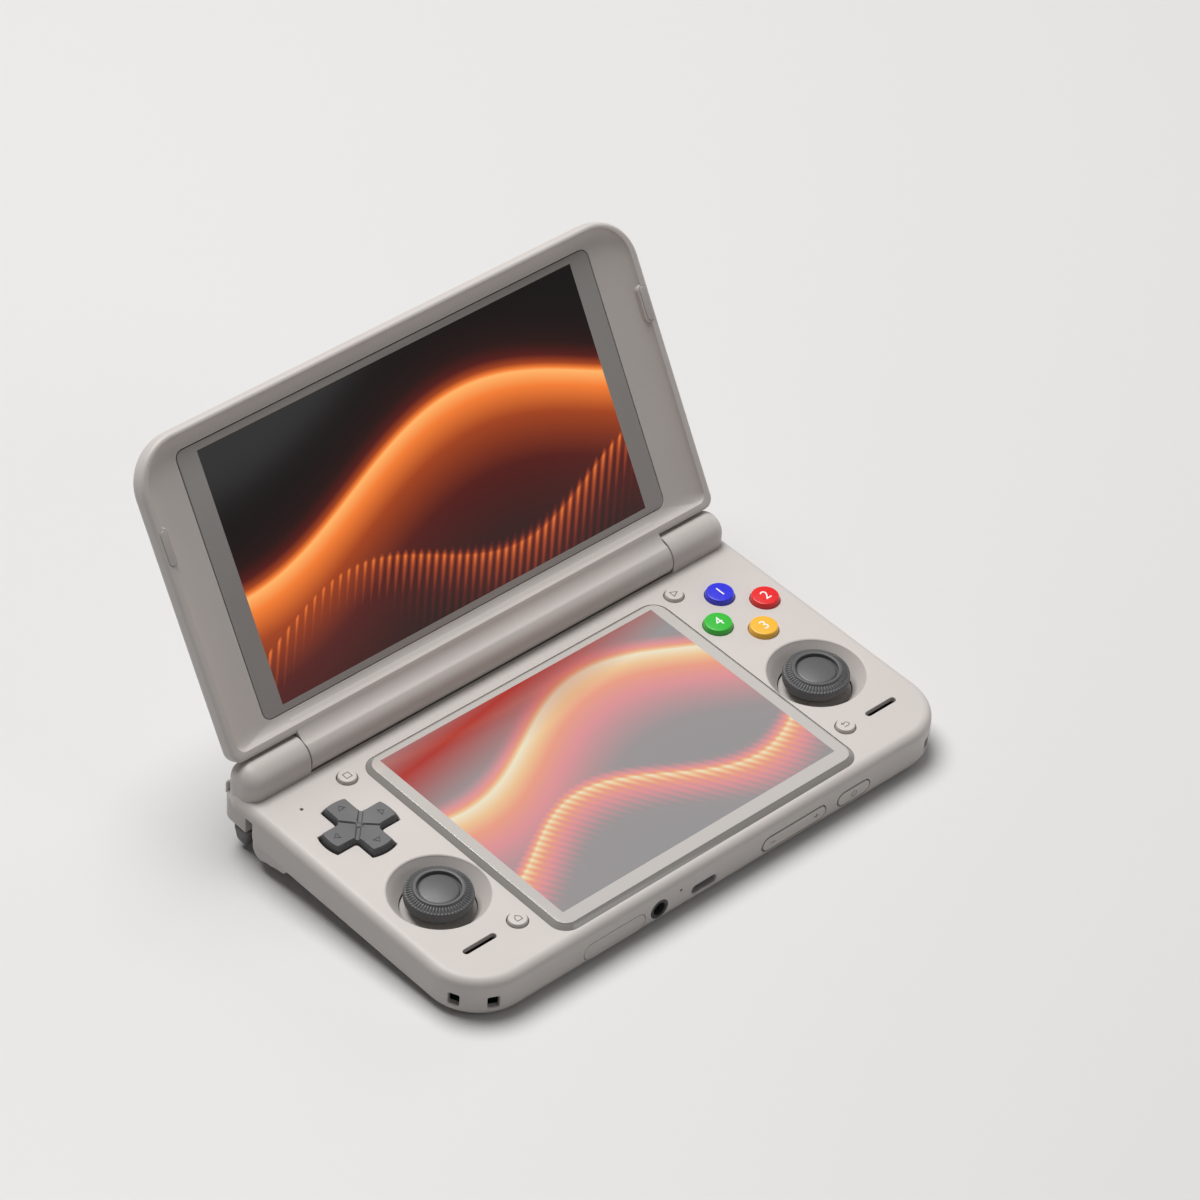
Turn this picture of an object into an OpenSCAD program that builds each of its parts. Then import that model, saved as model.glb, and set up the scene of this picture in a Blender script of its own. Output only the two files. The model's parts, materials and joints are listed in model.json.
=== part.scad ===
// Clamshell handheld game console with two displays, standing open on its feet.
// Millimetres. Every piece is drawn in the deck frame: X along the hinge, Y to the rear,
// Z up from the lower display's glass, whose centre is the origin. stand() then tilts the
// whole object onto its feet and puts the table at z = 0.

/* [Stance] */
// Tilt of the base on its feet, rear edge up
stand_tilt = 4.64; // [3:0.02:6]
// Opening of the lid, measured from shut
lid_open = 120; // [90:1:140]

/* [Base shell] */
// Width of the base
base_w = 163; // [161:0.5:172]
// Front wall, from the centre of the lower display
base_front = 42.3; // [42:0.1:46]
// Rear end of the side walls, from the centre of the lower display
side_end = 43; // [42.6:0.1:43.6]
// Height of the base from deck to underside
base_h = 12.1; // [12.1:0.1:14]
// Radius of the front corners in plan
corner_r = 15; // [12:0.5:17]
// Radius of the rear corners of the side walls in plan
rear_corner_r = 4; // [3.2:0.1:5]
// Fillet round the deck
top_fillet = 2.6; // [1.5:0.1:3]
// Fillet round the underside
bottom_fillet = 3; // [1.5:0.1:3.1]
// Wall of the base covers
wall = 1.5; // [1.2:0.1:1.6]
// Thickness of the deck plate
deck_t = 1.4; // [1.2:0.1:1.5]
// Thickness of the bottom plate
floor_t = 1.7; // [1.5:0.1:1.9]
// Half width of the rear block between the shoulder buttons
rear_block_x = 50; // [46:0.5:50.5]
// Rear face of that block
rear_block_y = 52.3; // [51.6:0.1:53]
// Where the underside starts to drop to the rear hump
hump_start = 28.6; // [26:0.2:30]
// Drop of the hump on the side walls
hump_side_drop = 3.1; // [2:0.1:3.6]
// Half width of the hump's underside
hump_x = 64; // [60:0.5:68]

/* [Lower display] */
// Width of the lower glass at the top
lower_glass_w = 97.8; // [95:0.1:98.4]
// Front edge of the lower glass at the top
lower_glass_front = 38.3; // [37.6:0.1:38.6]
// Rear edge of the lower glass at the top
lower_glass_rear = 36; // [35.5:0.1:36.4]
// Corner radius of the lower glass
lower_glass_r = 3.5; // [2:0.1:5]
// Width of the sloping edge round the lower glass
glass_bevel = 1.4; // [0.8:0.1:1.6]
// Height of the lower glass over the deck
glass_rise = 1.2; // [1:0.05:1.3]
// Depth of the seat of the lower glass in the deck
glass_seat = 0.7; // [0.5:0.05:0.8]
// Width of the lower display panel
lower_panel_w = 94; // [92:0.5:94.5]
// Depth of the lower display panel
lower_panel_d = 71; // [69:0.5:71.5]

/* [Hinge] */
// Hinge axis behind the centre of the lower display
hinge_y = 47.6; // [47.5:0.05:47.9]
// Hinge axis over the lower glass
hinge_z = 1.8; // [1.75:0.05:2]
// Radius of the hinge barrel
barrel_r = 5.3; // [5:0.05:5.4]
// Seam between the barrel and a knuckle, from the middle
knuckle_in = 61; // [58:0.5:62]
// Outer end of a knuckle, from the middle
knuckle_out = 80.5; // [78:0.5:80.5]
// Rounding of a knuckle's outer end
knuckle_round = 4; // [2:0.1:5]
// Radius of a hinge pin
pin_r = 1.6; // [1.2:0.05:2]
// Length of a hinge pin
pin_len = 24; // [20:0.5:26]

/* [Lid] */
// Width of the lid
lid_w = 161.2; // [160:0.1:163]
// Near edge of the lid, from the hinge axis
lid_near = 5.7; // [5.6:0.05:5.8]
// Far edge of the lid, from the hinge axis
lid_far = 89.5; // [89.3:0.1:89.9]
// Height of the lid's rim over the hinge axis, towards the base when shut
lid_rim = 2.7; // [2.4:0.05:2.75]
// Back of the lid behind the hinge axis
lid_back = 4.5; // [4.2:0.1:5.5]
// Far corner radius of the lid
lid_far_r = 13; // [12:0.5:15]
// Near corner radius of the lid
lid_near_r = 3; // [2:0.1:4]
// Rounding of the lid's back edge
lid_back_round = 4.6; // [4:0.1:5]
// Rounding of the lid's rim
lid_rim_round = 1; // [0.5:0.1:1.1]
// Seam between the lid's two covers, behind the hinge axis
lid_split = 1.6; // [1.5:0.05:1.8]
// Front of the upper glass, over the hinge axis
upper_glass_z = 0.1; // [0:0.05:0.3]
// Centre of the upper display, from the hinge axis
upper_mid = 47.5; // [47.4:0.05:47.7]
// Width of the upper glass's seat
upper_seat_w = 134.6; // [133:0.2:136]
// Depth of the upper glass's seat
upper_seat_d = 72.8; // [72.4:0.1:73]
// Corner radius of the upper glass's seat
upper_seat_r = 2.5; // [1.5:0.1:4]
// Thickness of the upper glass
upper_glass_t = 1.2; // [1:0.05:1.2]
// Width of the upper display panel
upper_panel_w = 126; // [124:0.5:127]
// Depth of the upper display panel
upper_panel_d = 70.6; // [69.5:0.1:70.8]
// Wall behind the upper display panel
lid_wall = 1.2; // [1:0.1:1.3]
// Length of a rubber buffer in the lid's rim
buffer_len = 8.5; // [6:0.5:12]
// Width of a rubber buffer
buffer_w = 1.1; // [0.9:0.1:1.2]
// Centre of the buffers beyond the centre of the upper display
buffer_y = 16.2; // [10:0.2:24]
// Radius of a closing magnet
magnet_r = 1.6; // [1:0.1:1.7]
// Wall between a closing magnet and the lid's side
magnet_wall = 1.2; // [1:0.1:1.6]
// Centre of the closing magnets, from the hinge axis
magnet_y = 70; // [66:0.5:76]

/* [Sticks] */
// Centre of a stick from the middle
stick_x = 63.6; // [63.2:0.1:64]
// Centre of a stick in front of the display's centre
stick_y = 9.2; // [8.6:0.1:9.6]
// Radius of a stick well at the deck
well_r = 12.97; // [12.4:0.01:13.1]
// Radius of a stick well at its floor
well_floor_r = 9.7; // [9.6:0.05:9.9]
// Depth of a stick well
well_depth = 4.8; // [4.6:0.05:4.9]
// Radius of a stick's cap
cap_r = 8.8; // [8:0.05:9]
// Radius of the ring on a cap
cap_ring_r = 6.5; // [6.1:0.05:6.8]
// Radius of the dished centre of a cap
cap_dish_r = 5.5; // [5:0.05:5.6]
// Height of a cap over the deck
cap_top = 1.65; // [1.5:0.05:1.7]
// Height of a cap under the deck
cap_under = 2.8; // [2.5:0.05:2.9]
// Pivot of a stick under the deck
stick_pivot = 7.8; // [7.6:0.05:7.9]
// Radius of a stick's shaft
shaft_r = 1.8; // [1.5:0.05:2]

/* [Direction pad] */
// Centre of the direction pad and of the four round buttons, from the middle
pad_x = 64.55; // [64.2:0.05:64.8]
// Their centre behind the display's centre
pad_y = 19.85; // [19.6:0.05:20.2]
// Length of an arm of the direction pad from its centre
pad_arm = 10.3; // [9.6:0.05:10.4]
// Width of an arm
pad_arm_w = 7; // [6:0.05:7.6]
// Height of the direction pad over the deck
pad_rise = 1.4; // [1:0.05:1.5]
// Radius of the pivot ball under the direction pad
pad_ball_r = 1.5; // [1.2:0.05:1.5]

/* [Round buttons] */
// Pitch of the round buttons from their common centre
round_pitch = 8.35; // [8.1:0.05:8.5]
// Radius of a round button at its foot
round_r = 3.86; // [3.4:0.02:4]
// Height of a round button over the deck
round_rise = 1.32; // [1:0.02:1.4]
// Travel of a round button
round_travel = 0.8; // [0.5:0.05:0.85]

/* [Small buttons] */
// Centres of the small buttons from the middle
small_x = 55.2; // [55:0.05:55.6]
// Centres of the rear pair behind the display's centre
small_rear = 35.6; // [35:0.1:36]
// Centres of the front pair in front of the display's centre
small_front = 28.6; // [28.2:0.1:29]
// Radius of a small button at its foot
small_r = 2.55; // [2:0.05:2.6]
// Height of a small button over the deck
small_rise = 0.85; // [0.5:0.05:0.9]
// Travel of a small button
small_travel = 0.5; // [0.3:0.05:0.6]

/* [Shoulder buttons] */
// Outer end of the bumpers from the middle
bumper_out = 80; // [77:0.5:80.3]
// Rear face of the bumpers
bumper_rear = 53.2; // [51.6:0.1:54]
// Underside of the bumpers below the deck
bumper_bottom = 11.5; // [11:0.05:11.6]
// Outer end of the triggers from the middle
trigger_out = 79; // [76:0.5:80]
// Rear face of the triggers
trigger_rear = 51.2; // [50.8:0.1:52]
// Height of a trigger
trigger_h = 5.5; // [5:0.05:5.7]
// Radius of the pins that carry the bumpers and triggers
shoulder_pin_r = 0.8; // [0.6:0.05:0.9]

/* [Front edge] */
// Card door, distance left of the middle
card_x = 35.3; // [34:0.1:36]
// Width of the card door
card_w = 20.3; // [19:0.1:21]
// Height of the card door
card_h = 5.4; // [4.8:0.1:5.6]
// Headphone jack, distance left of the middle
jack_x = 20.6; // [20:0.1:21]
// Radius of the headphone jack's ring
jack_ring_r = 2.8; // [2.6:0.05:2.9]
// Radius of the headphone jack's bore
jack_bore_r = 1.78; // [1.76:0.01:1.9]
// Depth of the headphone jack
jack_len = 14; // [13:0.5:14.5]
// Status light, distance left of the middle
light_x = 13.6; // [13:0.1:14]
// Radius of the status light
light_r = 0.4; // [0.3:0.05:0.6]
// USB-C port, distance left of the middle
usb_x = 5.6; // [5:0.1:6]
// Volume rocker, distance right of the middle
rocker_x = 25; // [24.5:0.1:25.4]
// Width of the volume rocker
rocker_w = 21.9; // [20:0.1:22.4]
// Power button, distance right of the middle
power_x = 45.7; // [45.3:0.1:46]
// Width of the power button
power_w = 11.2; // [10:0.1:11.4]
// Height of the two front keys
key_h = 4.4; // [4:0.1:4.8]
// Travel of the power button
power_travel = 0.4; // [0.2:0.05:0.5]

/* [Inside] */
// Radius of the fan impeller
fan_r = 14.5; // [12:0.5:15]
// Number of fan blades
fan_blades = 11; // [7:1:15]
// Number of cooling fins
fins = 15; // [9:1:17]
// Width of the battery
battery_w = 74; // [66:1:76]
// Depth of the battery
battery_d = 25; // [22:0.5:25.5]
// Thickness of the circuit boards
board_t = 1; // [0.8:0.1:1]

/* [Fasteners and feet] */
// Radius of a screw's shank
screw_r = 0.95; // [0.7:0.05:1]
// Radius of a screw's head
screw_head_r = 2; // [1.6:0.05:2.1]
// Radius of a rubber foot
foot_r = 4.5; // [3.5:0.1:5]
// Height of the underside over the table at the front feet
foot_stand = 0.62; // [0.5:0.02:0.7]
// Thickness of a rubber foot
foot_t = 1.25; // [1.1:0.05:1.4]
// Front feet in front of the display's centre
foot_front = 33; // [31:0.5:34]
// Rear feet behind the display's centre
foot_rear = 38; // [37.5:0.1:38.2]
// Front feet from the middle
foot_front_x = 66; // [64:0.5:67]
// Rear feet from the middle
foot_rear_x = 58; // [56:0.5:59]

/* [Fit] */
// Gap round a key or a seam
gap = 0.3; // [0.25:0.01:0.35]
// Radial clearance of a turning or sliding fit
fit = 0.05; // [0.03:0.01:0.08]
// Gap round the hinge barrel
barrel_gap = 0.35; // [0.3:0.01:0.4]

/* [Hidden] */
$fn = 48;

shell = "#d3ccc7";
shell_dark = "#b9b2ad";
dark = "#55575c";
steel = "#b4b7bb";
board_green = "#2f5d46";
rubber = "#2c2c2e";

half_w = base_w / 2;
deck = -glass_rise;
roof = deck - deck_t;
floor_z = deck - base_h;
split = floor_z + floor_t;
foot_seat_z = floor_z - foot_stand;
ledge = deck - 3.8;
rear_top = deck - 1.8;
side_band = (lid_w - upper_seat_w) / 2;
bezel_band = side_band - 2.3;
lid_crest_far = 4.25;
lid_crest_near = 3.15;
board_top = split + board_t;
key_board_top = roof - 3.2;
flange = roof - 0.1;
front_in = -base_front + wall;
round_hole = round_r + 0.19;
small_hole = small_r + 0.25;
saddle_front = small_rear + small_r + 1.1;
pivot_z = deck - stick_pivot;
collar_z = deck - well_depth;
housing_top = collar_z - 1.2;
pad_pivot_z = key_board_top + pad_ball_r + fit;
port_z = deck - 7.7;
usb_z = port_z - 0.15;
jack_z = deck - 7.2;
light_z = deck - 5;
key_z = deck - 7.3;
key_proud = 0.2;
trigger_top = deck - 12.3;
trigger_pin = [47.2, trigger_top - 1.5];
bumper_top = ledge - gap;
bumper_front = side_end + 1.9;
bumper_pin = [rear_block_x + 3.2, 48.5];
panel_bottom = -lid_back + lid_wall;
fan_y = 19;
fan_wall = 1.2;
fan_box = fan_r + 0.7 + fan_wall;
magnet_x = lid_w / 2 - magnet_wall - magnet_r;
speaker_x = 66.6;
speaker_y = 29.5;
speaker_w = 13.6;
speaker_d = 12.4;
housing_w = 20.4;
key_board_w = 24;
key_board_d = 26.4;
fin_t = 0.5;
fins_w = 56;
mic_x = 71.2;
mic_y = 33.9;
screw_places = [[54, -36.8], [76, 4.5], [74, 37.5]];
screw_seat = split - 0.8;
slot_y = -28.8;
slot_in = 62.6;
slot_out = 72.4;
lanyard_z = deck - 7.1;

// Table under the deck frame, and the reach of the tilted object to the front and rear
function table_z(y) = foot_seat_z - tan(stand_tilt) * (y + foot_front);
function tilt_y(y, z) = y * cos(stand_tilt) - z * sin(stand_tilt);
function tilt_z(y, z) = y * sin(stand_tilt) + z * cos(stand_tilt);
lid_lean = 180 - lid_open;
lid_edge = [lid_far - lid_back_round, lid_back_round - lid_back];
lid_edge_y = hinge_y + lid_edge[0] * cos(lid_lean) - lid_edge[1] * sin(lid_lean);
lid_edge_z = hinge_z + lid_edge[0] * sin(lid_lean) + lid_edge[1] * cos(lid_lean);
rear_reach = tilt_y(lid_edge_y, lid_edge_z) + lid_back_round;
front_reach = tilt_y(-base_front - key_proud, key_z + key_h / 2);
mid_y = (front_reach + rear_reach) / 2;
table_level = tilt_z(0, table_z(0));

// Puts the deck frame on the table
module stand() translate([0, -mid_y, -table_level]) rotate([stand_tilt, 0, 0]) children();

// Lid frame: hinge axis at the origin, Y away from it, Z out of the upper display
module on_lid() stand() translate([0, hinge_y, hinge_z]) rotate([lid_lean, 0, 0]) children();

// Level frame over the table at a place in the deck frame
module on_table(x, y, lift) translate([x, y, table_z(y) + lift / cos(stand_tilt)])
    rotate([-stand_tilt, 0, 0]) children();

module both() {
    children();
    mirror([1, 0, 0]) children();
}

module side(s) translate([s * stick_x, -stick_y, 0]) children();

// Rectangle with round corners, centred
module round_rect(w, d, r) {
    square([w - 2 * r, d], center = true);
    square([w, d - 2 * r], center = true);
    for (x = [-1, 1], y = [-1, 1]) translate([x * (w / 2 - r), y * (d / 2 - r)]) circle(r);
}

// Slot or plug with half-round ends, centred
module stadium(w, h) {
    square([w - h, h], center = true);
    for (x = [-1, 1]) translate([x * (w - h) / 2, 0]) circle(h / 2);
}

// Rectangle from y0 to y1 with its own radius at each end
module end_rect(w, y0, y1, r0, r1) {
    translate([-w / 2, y0 + r0]) square([w, y1 - y0 - r0 - r1]);
    translate([-w / 2 + r0, y0]) square([w - 2 * r0, r0 + 0.01]);
    translate([-w / 2 + r1, y1 - r1 - 0.01]) square([w - 2 * r1, r1 + 0.01]);
    for (x = [-1, 1]) {
        translate([x * (w / 2 - r0), y0 + r0]) circle(r0);
        translate([x * (w / 2 - r1), y1 - r1]) circle(r1);
    }
}

module slab(z0, z1) translate([0, 0, z0]) linear_extrude(z1 - z0) children();

// Column with rounded lower and upper edges, one corner of a hulled shell
module post(r, z0, z1, f0, f1) rotate_extrude($fn = 32) polygon(concat(
    [[0, z0]],
    [for (a = [0 : 18 : 90]) [r - f0 + f0 * sin(a), z0 + f0 - f0 * cos(a)]],
    [for (a = [0 : 18 : 90]) [r - f1 + f1 * cos(a), z1 - f1 + f1 * sin(a)]],
    [[0, z1]]));

// Outer form of the base in front of the hinge
module base_form() hull() for (s = [-1, 1]) {
    translate([s * (half_w - corner_r), corner_r - base_front, 0])
        post(corner_r, floor_z, deck, bottom_fillet, top_fillet);
    translate([s * (half_w - rear_corner_r), side_end - rear_corner_r, 0])
        post(rear_corner_r, floor_z, deck, bottom_fillet, top_fillet);
}

module block(x, y0, y1, z0, z1) translate([-x, y0, z0]) cube([2 * x, y1 - y0, z1 - z0]);

// Hole or plug through the front wall, drawn as seen from the front
module through_front(x, z, y0, y1) translate([x, y0, z]) rotate([-90, 0, 0])
    linear_extrude(y1 - y0) children();

module screw_sites() both() for (p = screw_places) translate([p[0], p[1], 0]) children();

module foot() cylinder(r = foot_r, h = foot_t);

module feet() {
    for (s = [-1, 1]) {
        on_table(s * foot_front_x, -foot_front, 0) foot();
        on_table(s * foot_rear_x, foot_rear, 0) foot();
    }
}

module pad_cross(grow) intersection() {
    circle(pad_arm + grow);
    union() {
        square([2 * (pad_arm + grow), pad_arm_w + 2 * grow], center = true);
        square([pad_arm_w + 2 * grow, 2 * (pad_arm + grow)], center = true);
    }
}

module round_sites() translate([pad_x, pad_y, 0]) for (a = [0 : 90 : 270])
    translate([round_pitch * cos(a), round_pitch * sin(a), 0]) children();

module small_sites() both() for (y = [small_rear, -small_front])
    translate([small_x, y, 0]) children();

module board_posts() both() {
    for (p = [[54.2, 8.6], [74.6, 31.4]]) translate([p[0], p[1], key_board_top])
        cylinder(r = 1.3, h = roof - key_board_top + 0.5);
    for (p = [[52.9, -24.6], [57.7, -32.8]]) translate([p[0], p[1], key_board_top])
        cylinder(r = 0.8, h = roof - key_board_top + 0.5);
}

// Hinge knuckle: a barrel on a foot, with a rounded outer end in plan
module knuckle() {
    x0 = knuckle_in + gap / 2;
    round_out = knuckle_round + 0.5;
    translate([0, hinge_y, 0]) intersection() {
        translate([x0, 0, 0]) rotate([90, 0, 90]) linear_extrude(knuckle_out) {
            translate([0, hinge_z]) circle(barrel_r);
            translate([0.05 - barrel_r, ledge]) square([2 * barrel_r - 0.1, hinge_z - ledge]);
        }
        slab(ledge - 1, hinge_z + barrel_r + 1)
            round_rect(2 * knuckle_out, 2 * barrel_r + 1, round_out);
    }
}

module base_top_cover() color(shell) stand() difference() {
    union() {
        difference() {
            intersection() {
                base_form();
                block(base_w, -base_w, base_w, split, deck + 1);
            }
            slab(split - 1, roof) end_rect(base_w - 2 * wall, front_in, side_end - wall,
                corner_r - wall, rear_corner_r - wall);
        }
        block(knuckle_in + gap, saddle_front, hinge_y, ledge, deck);
        block(knuckle_in + gap, hinge_y, rear_block_y, ledge, rear_top);
        block(rear_block_x, side_end - wall, rear_block_y, split, ledge);
        both() knuckle();
        for (s = [-1, 1]) side(s) translate([0, 0, collar_z - 0.2])
            cylinder(r1 = well_floor_r + 1.4, r2 = well_r + 1.2, h = well_depth);
        screw_sites() translate([0, 0, split]) cylinder(r = 2.2, h = roof - split + 0.5);
        board_posts();
    }
    translate([-knuckle_in - gap / 2, hinge_y, hinge_z]) rotate([0, 90, 0])
        cylinder(r = barrel_r + barrel_gap, h = 2 * knuckle_in + gap);
    block(rear_block_x - wall, side_end - wall - 1, rear_block_y - wall, split - 1, ledge - 1.1);
    block(30, rear_block_y - wall - 1, rear_block_y + 1, split + 0.8, ledge - 1.6);
    for (s = [-1, 1]) side(s) rotate_extrude() polygon([[0, collar_z - 1],
        [well_floor_r, collar_z - 1], [well_floor_r, collar_z],
        [2 * well_r - well_floor_r, deck + well_depth], [0, deck + well_depth]]);
    slab(roof - 1, deck + 1) translate([0, (lower_glass_rear - lower_glass_front) / 2])
        square([lower_panel_w + gap, lower_panel_d + gap], center = true);
    slab(deck - glass_seat, deck + 1) lower_foot(0);
    slab(flange - 1, deck + 1) translate([-pad_x, pad_y]) pad_cross(0.4);
    round_sites() translate([0, 0, flange - 1]) cylinder(r = round_hole, h = deck_t + 3);
    small_sites() translate([0, 0, flange - 1]) cylinder(r = small_hole, h = deck_t + 3);
    both() slab(flange - 1, deck + 1) translate([(slot_in + slot_out) / 2, slot_y])
        stadium(slot_out - slot_in, 1.5);
    translate([-mic_x, mic_y, flange - 1]) cylinder(r = 0.5, h = deck_t + 3);
    y0 = -base_front - 1;
    y1 = front_in + 0.01;
    through_front(-card_x, port_z, y0, y1) stadium(card_w, card_h);
    through_front(-jack_x, jack_z, y0, y1) circle(jack_ring_r);
    through_front(-light_x, light_z, y0, y1) circle(light_r);
    through_front(-usb_x, usb_z, y0, y1) stadium(9.2, 3.1);
    through_front(rocker_x, key_z, y0, y1) stadium(rocker_w + 0.4, key_h + 0.4);
    through_front(power_x, key_z, y0, y1) stadium(power_w + 0.4, key_h + 0.4);
    both() for (a = [206, 244]) translate([corner_r - half_w, corner_r - base_front, lanyard_z])
        rotate([0, 0, a]) translate([corner_r - wall - 1, -1.5, -1.7]) cube([wall + 3, 3, 3.4]);
    screw_sites() translate([0, 0, split - 1]) cylinder(r = screw_r, h = 7);
    both() translate([knuckle_out - 3 - pin_len, hinge_y, hinge_z]) rotate([0, 90, 0])
        cylinder(r = pin_r, h = pin_len);
    both() translate([bumper_pin[0], bumper_pin[1], ledge - 1]) cylinder(r = shoulder_pin_r, h = 1.7);
}

module base_bottom_cover() color(shell_dark) stand() difference() {
    union() {
        intersection() {
            base_form();
            block(base_w, -base_w, base_w, floor_z - 1, split);
        }
        hull() {
            block(half_w - 2, hump_start, side_end + 0.5, floor_z + 0.2, floor_z + 1);
            block(half_w - 1.5, side_end - 2.5, side_end + 0.5, floor_z - hump_side_drop, floor_z + 0.5);
            on_table(0, foot_rear, foot_stand) block(hump_x, -foot_r - 0.5, side_end - foot_rear + 0.4, 0, 0.5);
        }
        hull() {
            block(rear_block_x, side_end - 4, rear_block_y, floor_z, split);
            on_table(0, rear_block_y, foot_stand + 0.2) block(rear_block_x - 2, -12, -2.5, 0, 0.5);
        }
    }
    block(hump_x - 2, side_end - 7.5, side_end - wall, table_z(side_end) + 3, split + 1);
    screw_sites() {
        translate([0, 0, screw_seat - 12]) cylinder(r = screw_head_r + gap, h = 12);
        translate([0, 0, screw_seat - 1]) cylinder(r = screw_r, h = floor_t + 2);
    }
    both() translate([rear_block_x - 4, trigger_pin[0], trigger_pin[1]]) rotate([0, 90, 0])
        cylinder(r = shoulder_pin_r, h = 5);
    for (x = [-11 : 2.75 : 11]) translate([x - 0.7, fan_y - 9, floor_z - 1])
        cube([1.4, 17, floor_t + 2]);
    feet();
}

module lower_foot(z) translate([0, (lower_glass_rear - lower_glass_front) / 2])
    round_rect(lower_glass_w + 2 * glass_bevel,
        lower_glass_front + lower_glass_rear + 2 * glass_bevel, lower_glass_r + glass_bevel);

module lower_display_glass() color("#9a948f") stand() {
    hull() {
        slab(deck - 0.01, deck) lower_foot(0, $fn = 32);
        slab(-0.01, 0) translate([0, (lower_glass_rear - lower_glass_front) / 2])
            round_rect(lower_glass_w, lower_glass_front + lower_glass_rear, lower_glass_r, $fn = 32);
    }
    slab(deck - glass_seat, deck) lower_foot(0);
}

module lower_display_panel() color("#222428") stand()
    slab(roof - 0.7, deck - glass_seat) translate([0, (lower_glass_rear - lower_glass_front) / 2])
        square([lower_panel_w, lower_panel_d], center = true);

module main_board() color(board_green) stand() slab(split, board_top) difference() {
    end_rect(base_w - 2 * wall - 1, front_in + 1.2, side_end - wall - 8, corner_r - wall - 1.2, 4);
    translate([-battery_w / 2 - 0.5, -0.5 - battery_d - 0.5]) square([battery_w + 1, battery_d + 1]);
    translate([-fan_box - 0.5, fan_y - fan_box - 0.5]) square([2 * fan_box + 1, 2 * fan_box + 1]);
    translate([-jack_x - 3.8, front_in]) square([7.6, jack_len - wall + 1]);
    for (s = [-1, 1]) translate([s * stick_x, -stick_y]) circle(7.4);
    for (s = [-1, 1], p = screw_places) translate([s * p[0], p[1]]) circle(2.6);
    for (s = [-1, 1]) translate([s * (half_w - corner_r), corner_r - base_front])
        rotate(270 + 45 * s) translate([11, 0]) circle(1.4);
}

module battery() color("#3a3c40") stand() translate([0, -0.5 - battery_d / 2, 0])
    slab(split, roof - 1.9) round_rect(battery_w, battery_d, 1.5);

module fan_housing() color("#303236") stand() translate([0, fan_y, 0]) difference() {
    slab(split, roof - 2.4) round_rect(2 * fan_box, 2 * fan_box, 2);
    translate([0, 0, split + 0.8]) cylinder(r = fan_r + 0.7, h = roof - 3.2 - split - 0.8);
    translate([0, 0, split - 1]) cylinder(r = fan_r - 3, h = 2);
    translate([0, 0, roof - 4]) cylinder(r = fan_r - 3, h = 3);
    translate([-fan_r, 0, split + 0.8]) cube([2 * fan_r, fan_box + 1, roof - 3.2 - split - 0.8]);
}

module fan_impeller() color("#1f2023") stand() translate([0, fan_y, split + 1.2]) difference() {
    h = roof - 3.6 - split - 1.2;
    union() {
        cylinder(r = 5, h = h);
        cylinder(r = fan_r - 0.6, h = 0.6);
        for (i = [0 : fan_blades - 1]) rotate([0, 0, i * 360 / fan_blades])
            translate([4.6, -0.3, 0]) cube([fan_r - 4.8, 0.6, h]);
    }
    translate([0, 0, -0.5]) cylinder(r = 1 + fit, h = 2.5);
}

module heatsink() color("#8f5f42") stand() {
    y0 = fan_y + fan_box;
    y1 = rear_block_y - wall - 0.6;
    z1 = ledge - 1.4;
    block(fins_w / 2, y0, y1, split + 0.3, split + 1);
    for (i = [0 : fins - 1])
        translate([i * (fins_w - fin_t) / (fins - 1) - fins_w / 2, y0, split + 1])
            cube([fin_t, y1 - y0, z1 - split - 1]);
}

module rear_vent_grille() color(dark) stand() difference() {
    block(30, rear_block_y - wall, rear_block_y - 0.3, split + 0.8, ledge - 1.6);
    for (x = [-28 : 2.8 : 28]) translate([x - 0.8, rear_block_y - wall - 1, split + 1.5])
        cube([1.6, wall + 2, ledge - 2.3 - split - 1.5]);
}

module headphone_jack() color(dark) stand() difference() {
    union() {
        through_front(-jack_x, jack_z, -base_front, front_in + 0.5) circle(jack_ring_r);
        translate([-jack_x - 3.3, front_in, split])
            cube([6.6, jack_len - wall, jack_z + 3.3 - split]);
    }
    through_front(-jack_x, jack_z, -base_front - 1, -base_front + jack_len - 0.6) circle(jack_bore_r);
}

module usb_c_port() color(steel) stand() {
    difference() {
        through_front(-usb_x, usb_z, -base_front + 0.1, -base_front + 7.6) stadium(9.16, 3.06);
        through_front(-usb_x, usb_z, -base_front - 1, -base_front + 6.8) stadium(8.34, 2.56);
    }
    translate([-usb_x - 3.35, -base_front + 0.9, usb_z - 0.35]) cube([6.7, 6, 0.7]);
    translate([-usb_x - 2.8, -base_front + 2.6, board_top]) cube([5.6, 4, usb_z - 1.5 - board_top]);
}

module card_socket() color(steel) stand() difference() {
    translate([-card_x - 7, front_in + 0.3, board_top]) cube([14, 14, port_z + 1.2 - board_top]);
    translate([-card_x - 5.6, front_in, port_z - 0.45]) cube([11.2, 13.5, 0.9]);
}

module card_cover() color(shell) stand()
    through_front(-card_x, port_z, -base_front, front_in - 0.1)
        stadium(card_w - 2 * fit, card_h - 2 * fit);

module speaker(s) color(dark) stand() translate([s * speaker_x, -speaker_y, 0])
    slab(board_top, roof - 1.7) round_rect(speaker_w, speaker_d, 2.5);

module speaker_left() speaker(-1);
module speaker_right() speaker(1);

module stick_housing(s) color("#3c4046") stand() side(s) difference() {
    slab(board_top, housing_top) round_rect(housing_w, housing_w, 1.5);
    translate([0, 0, split - 1]) cylinder(r = 7.4, h = 10);
    translate([0.5 - housing_w / 2, 0, pivot_z]) rotate([0, 90, 0])
        cylinder(r = 0.8 + fit, h = housing_w - 1);
}

module stick_housing_left() stick_housing(-1);
module stick_housing_right() stick_housing(1);

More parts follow.
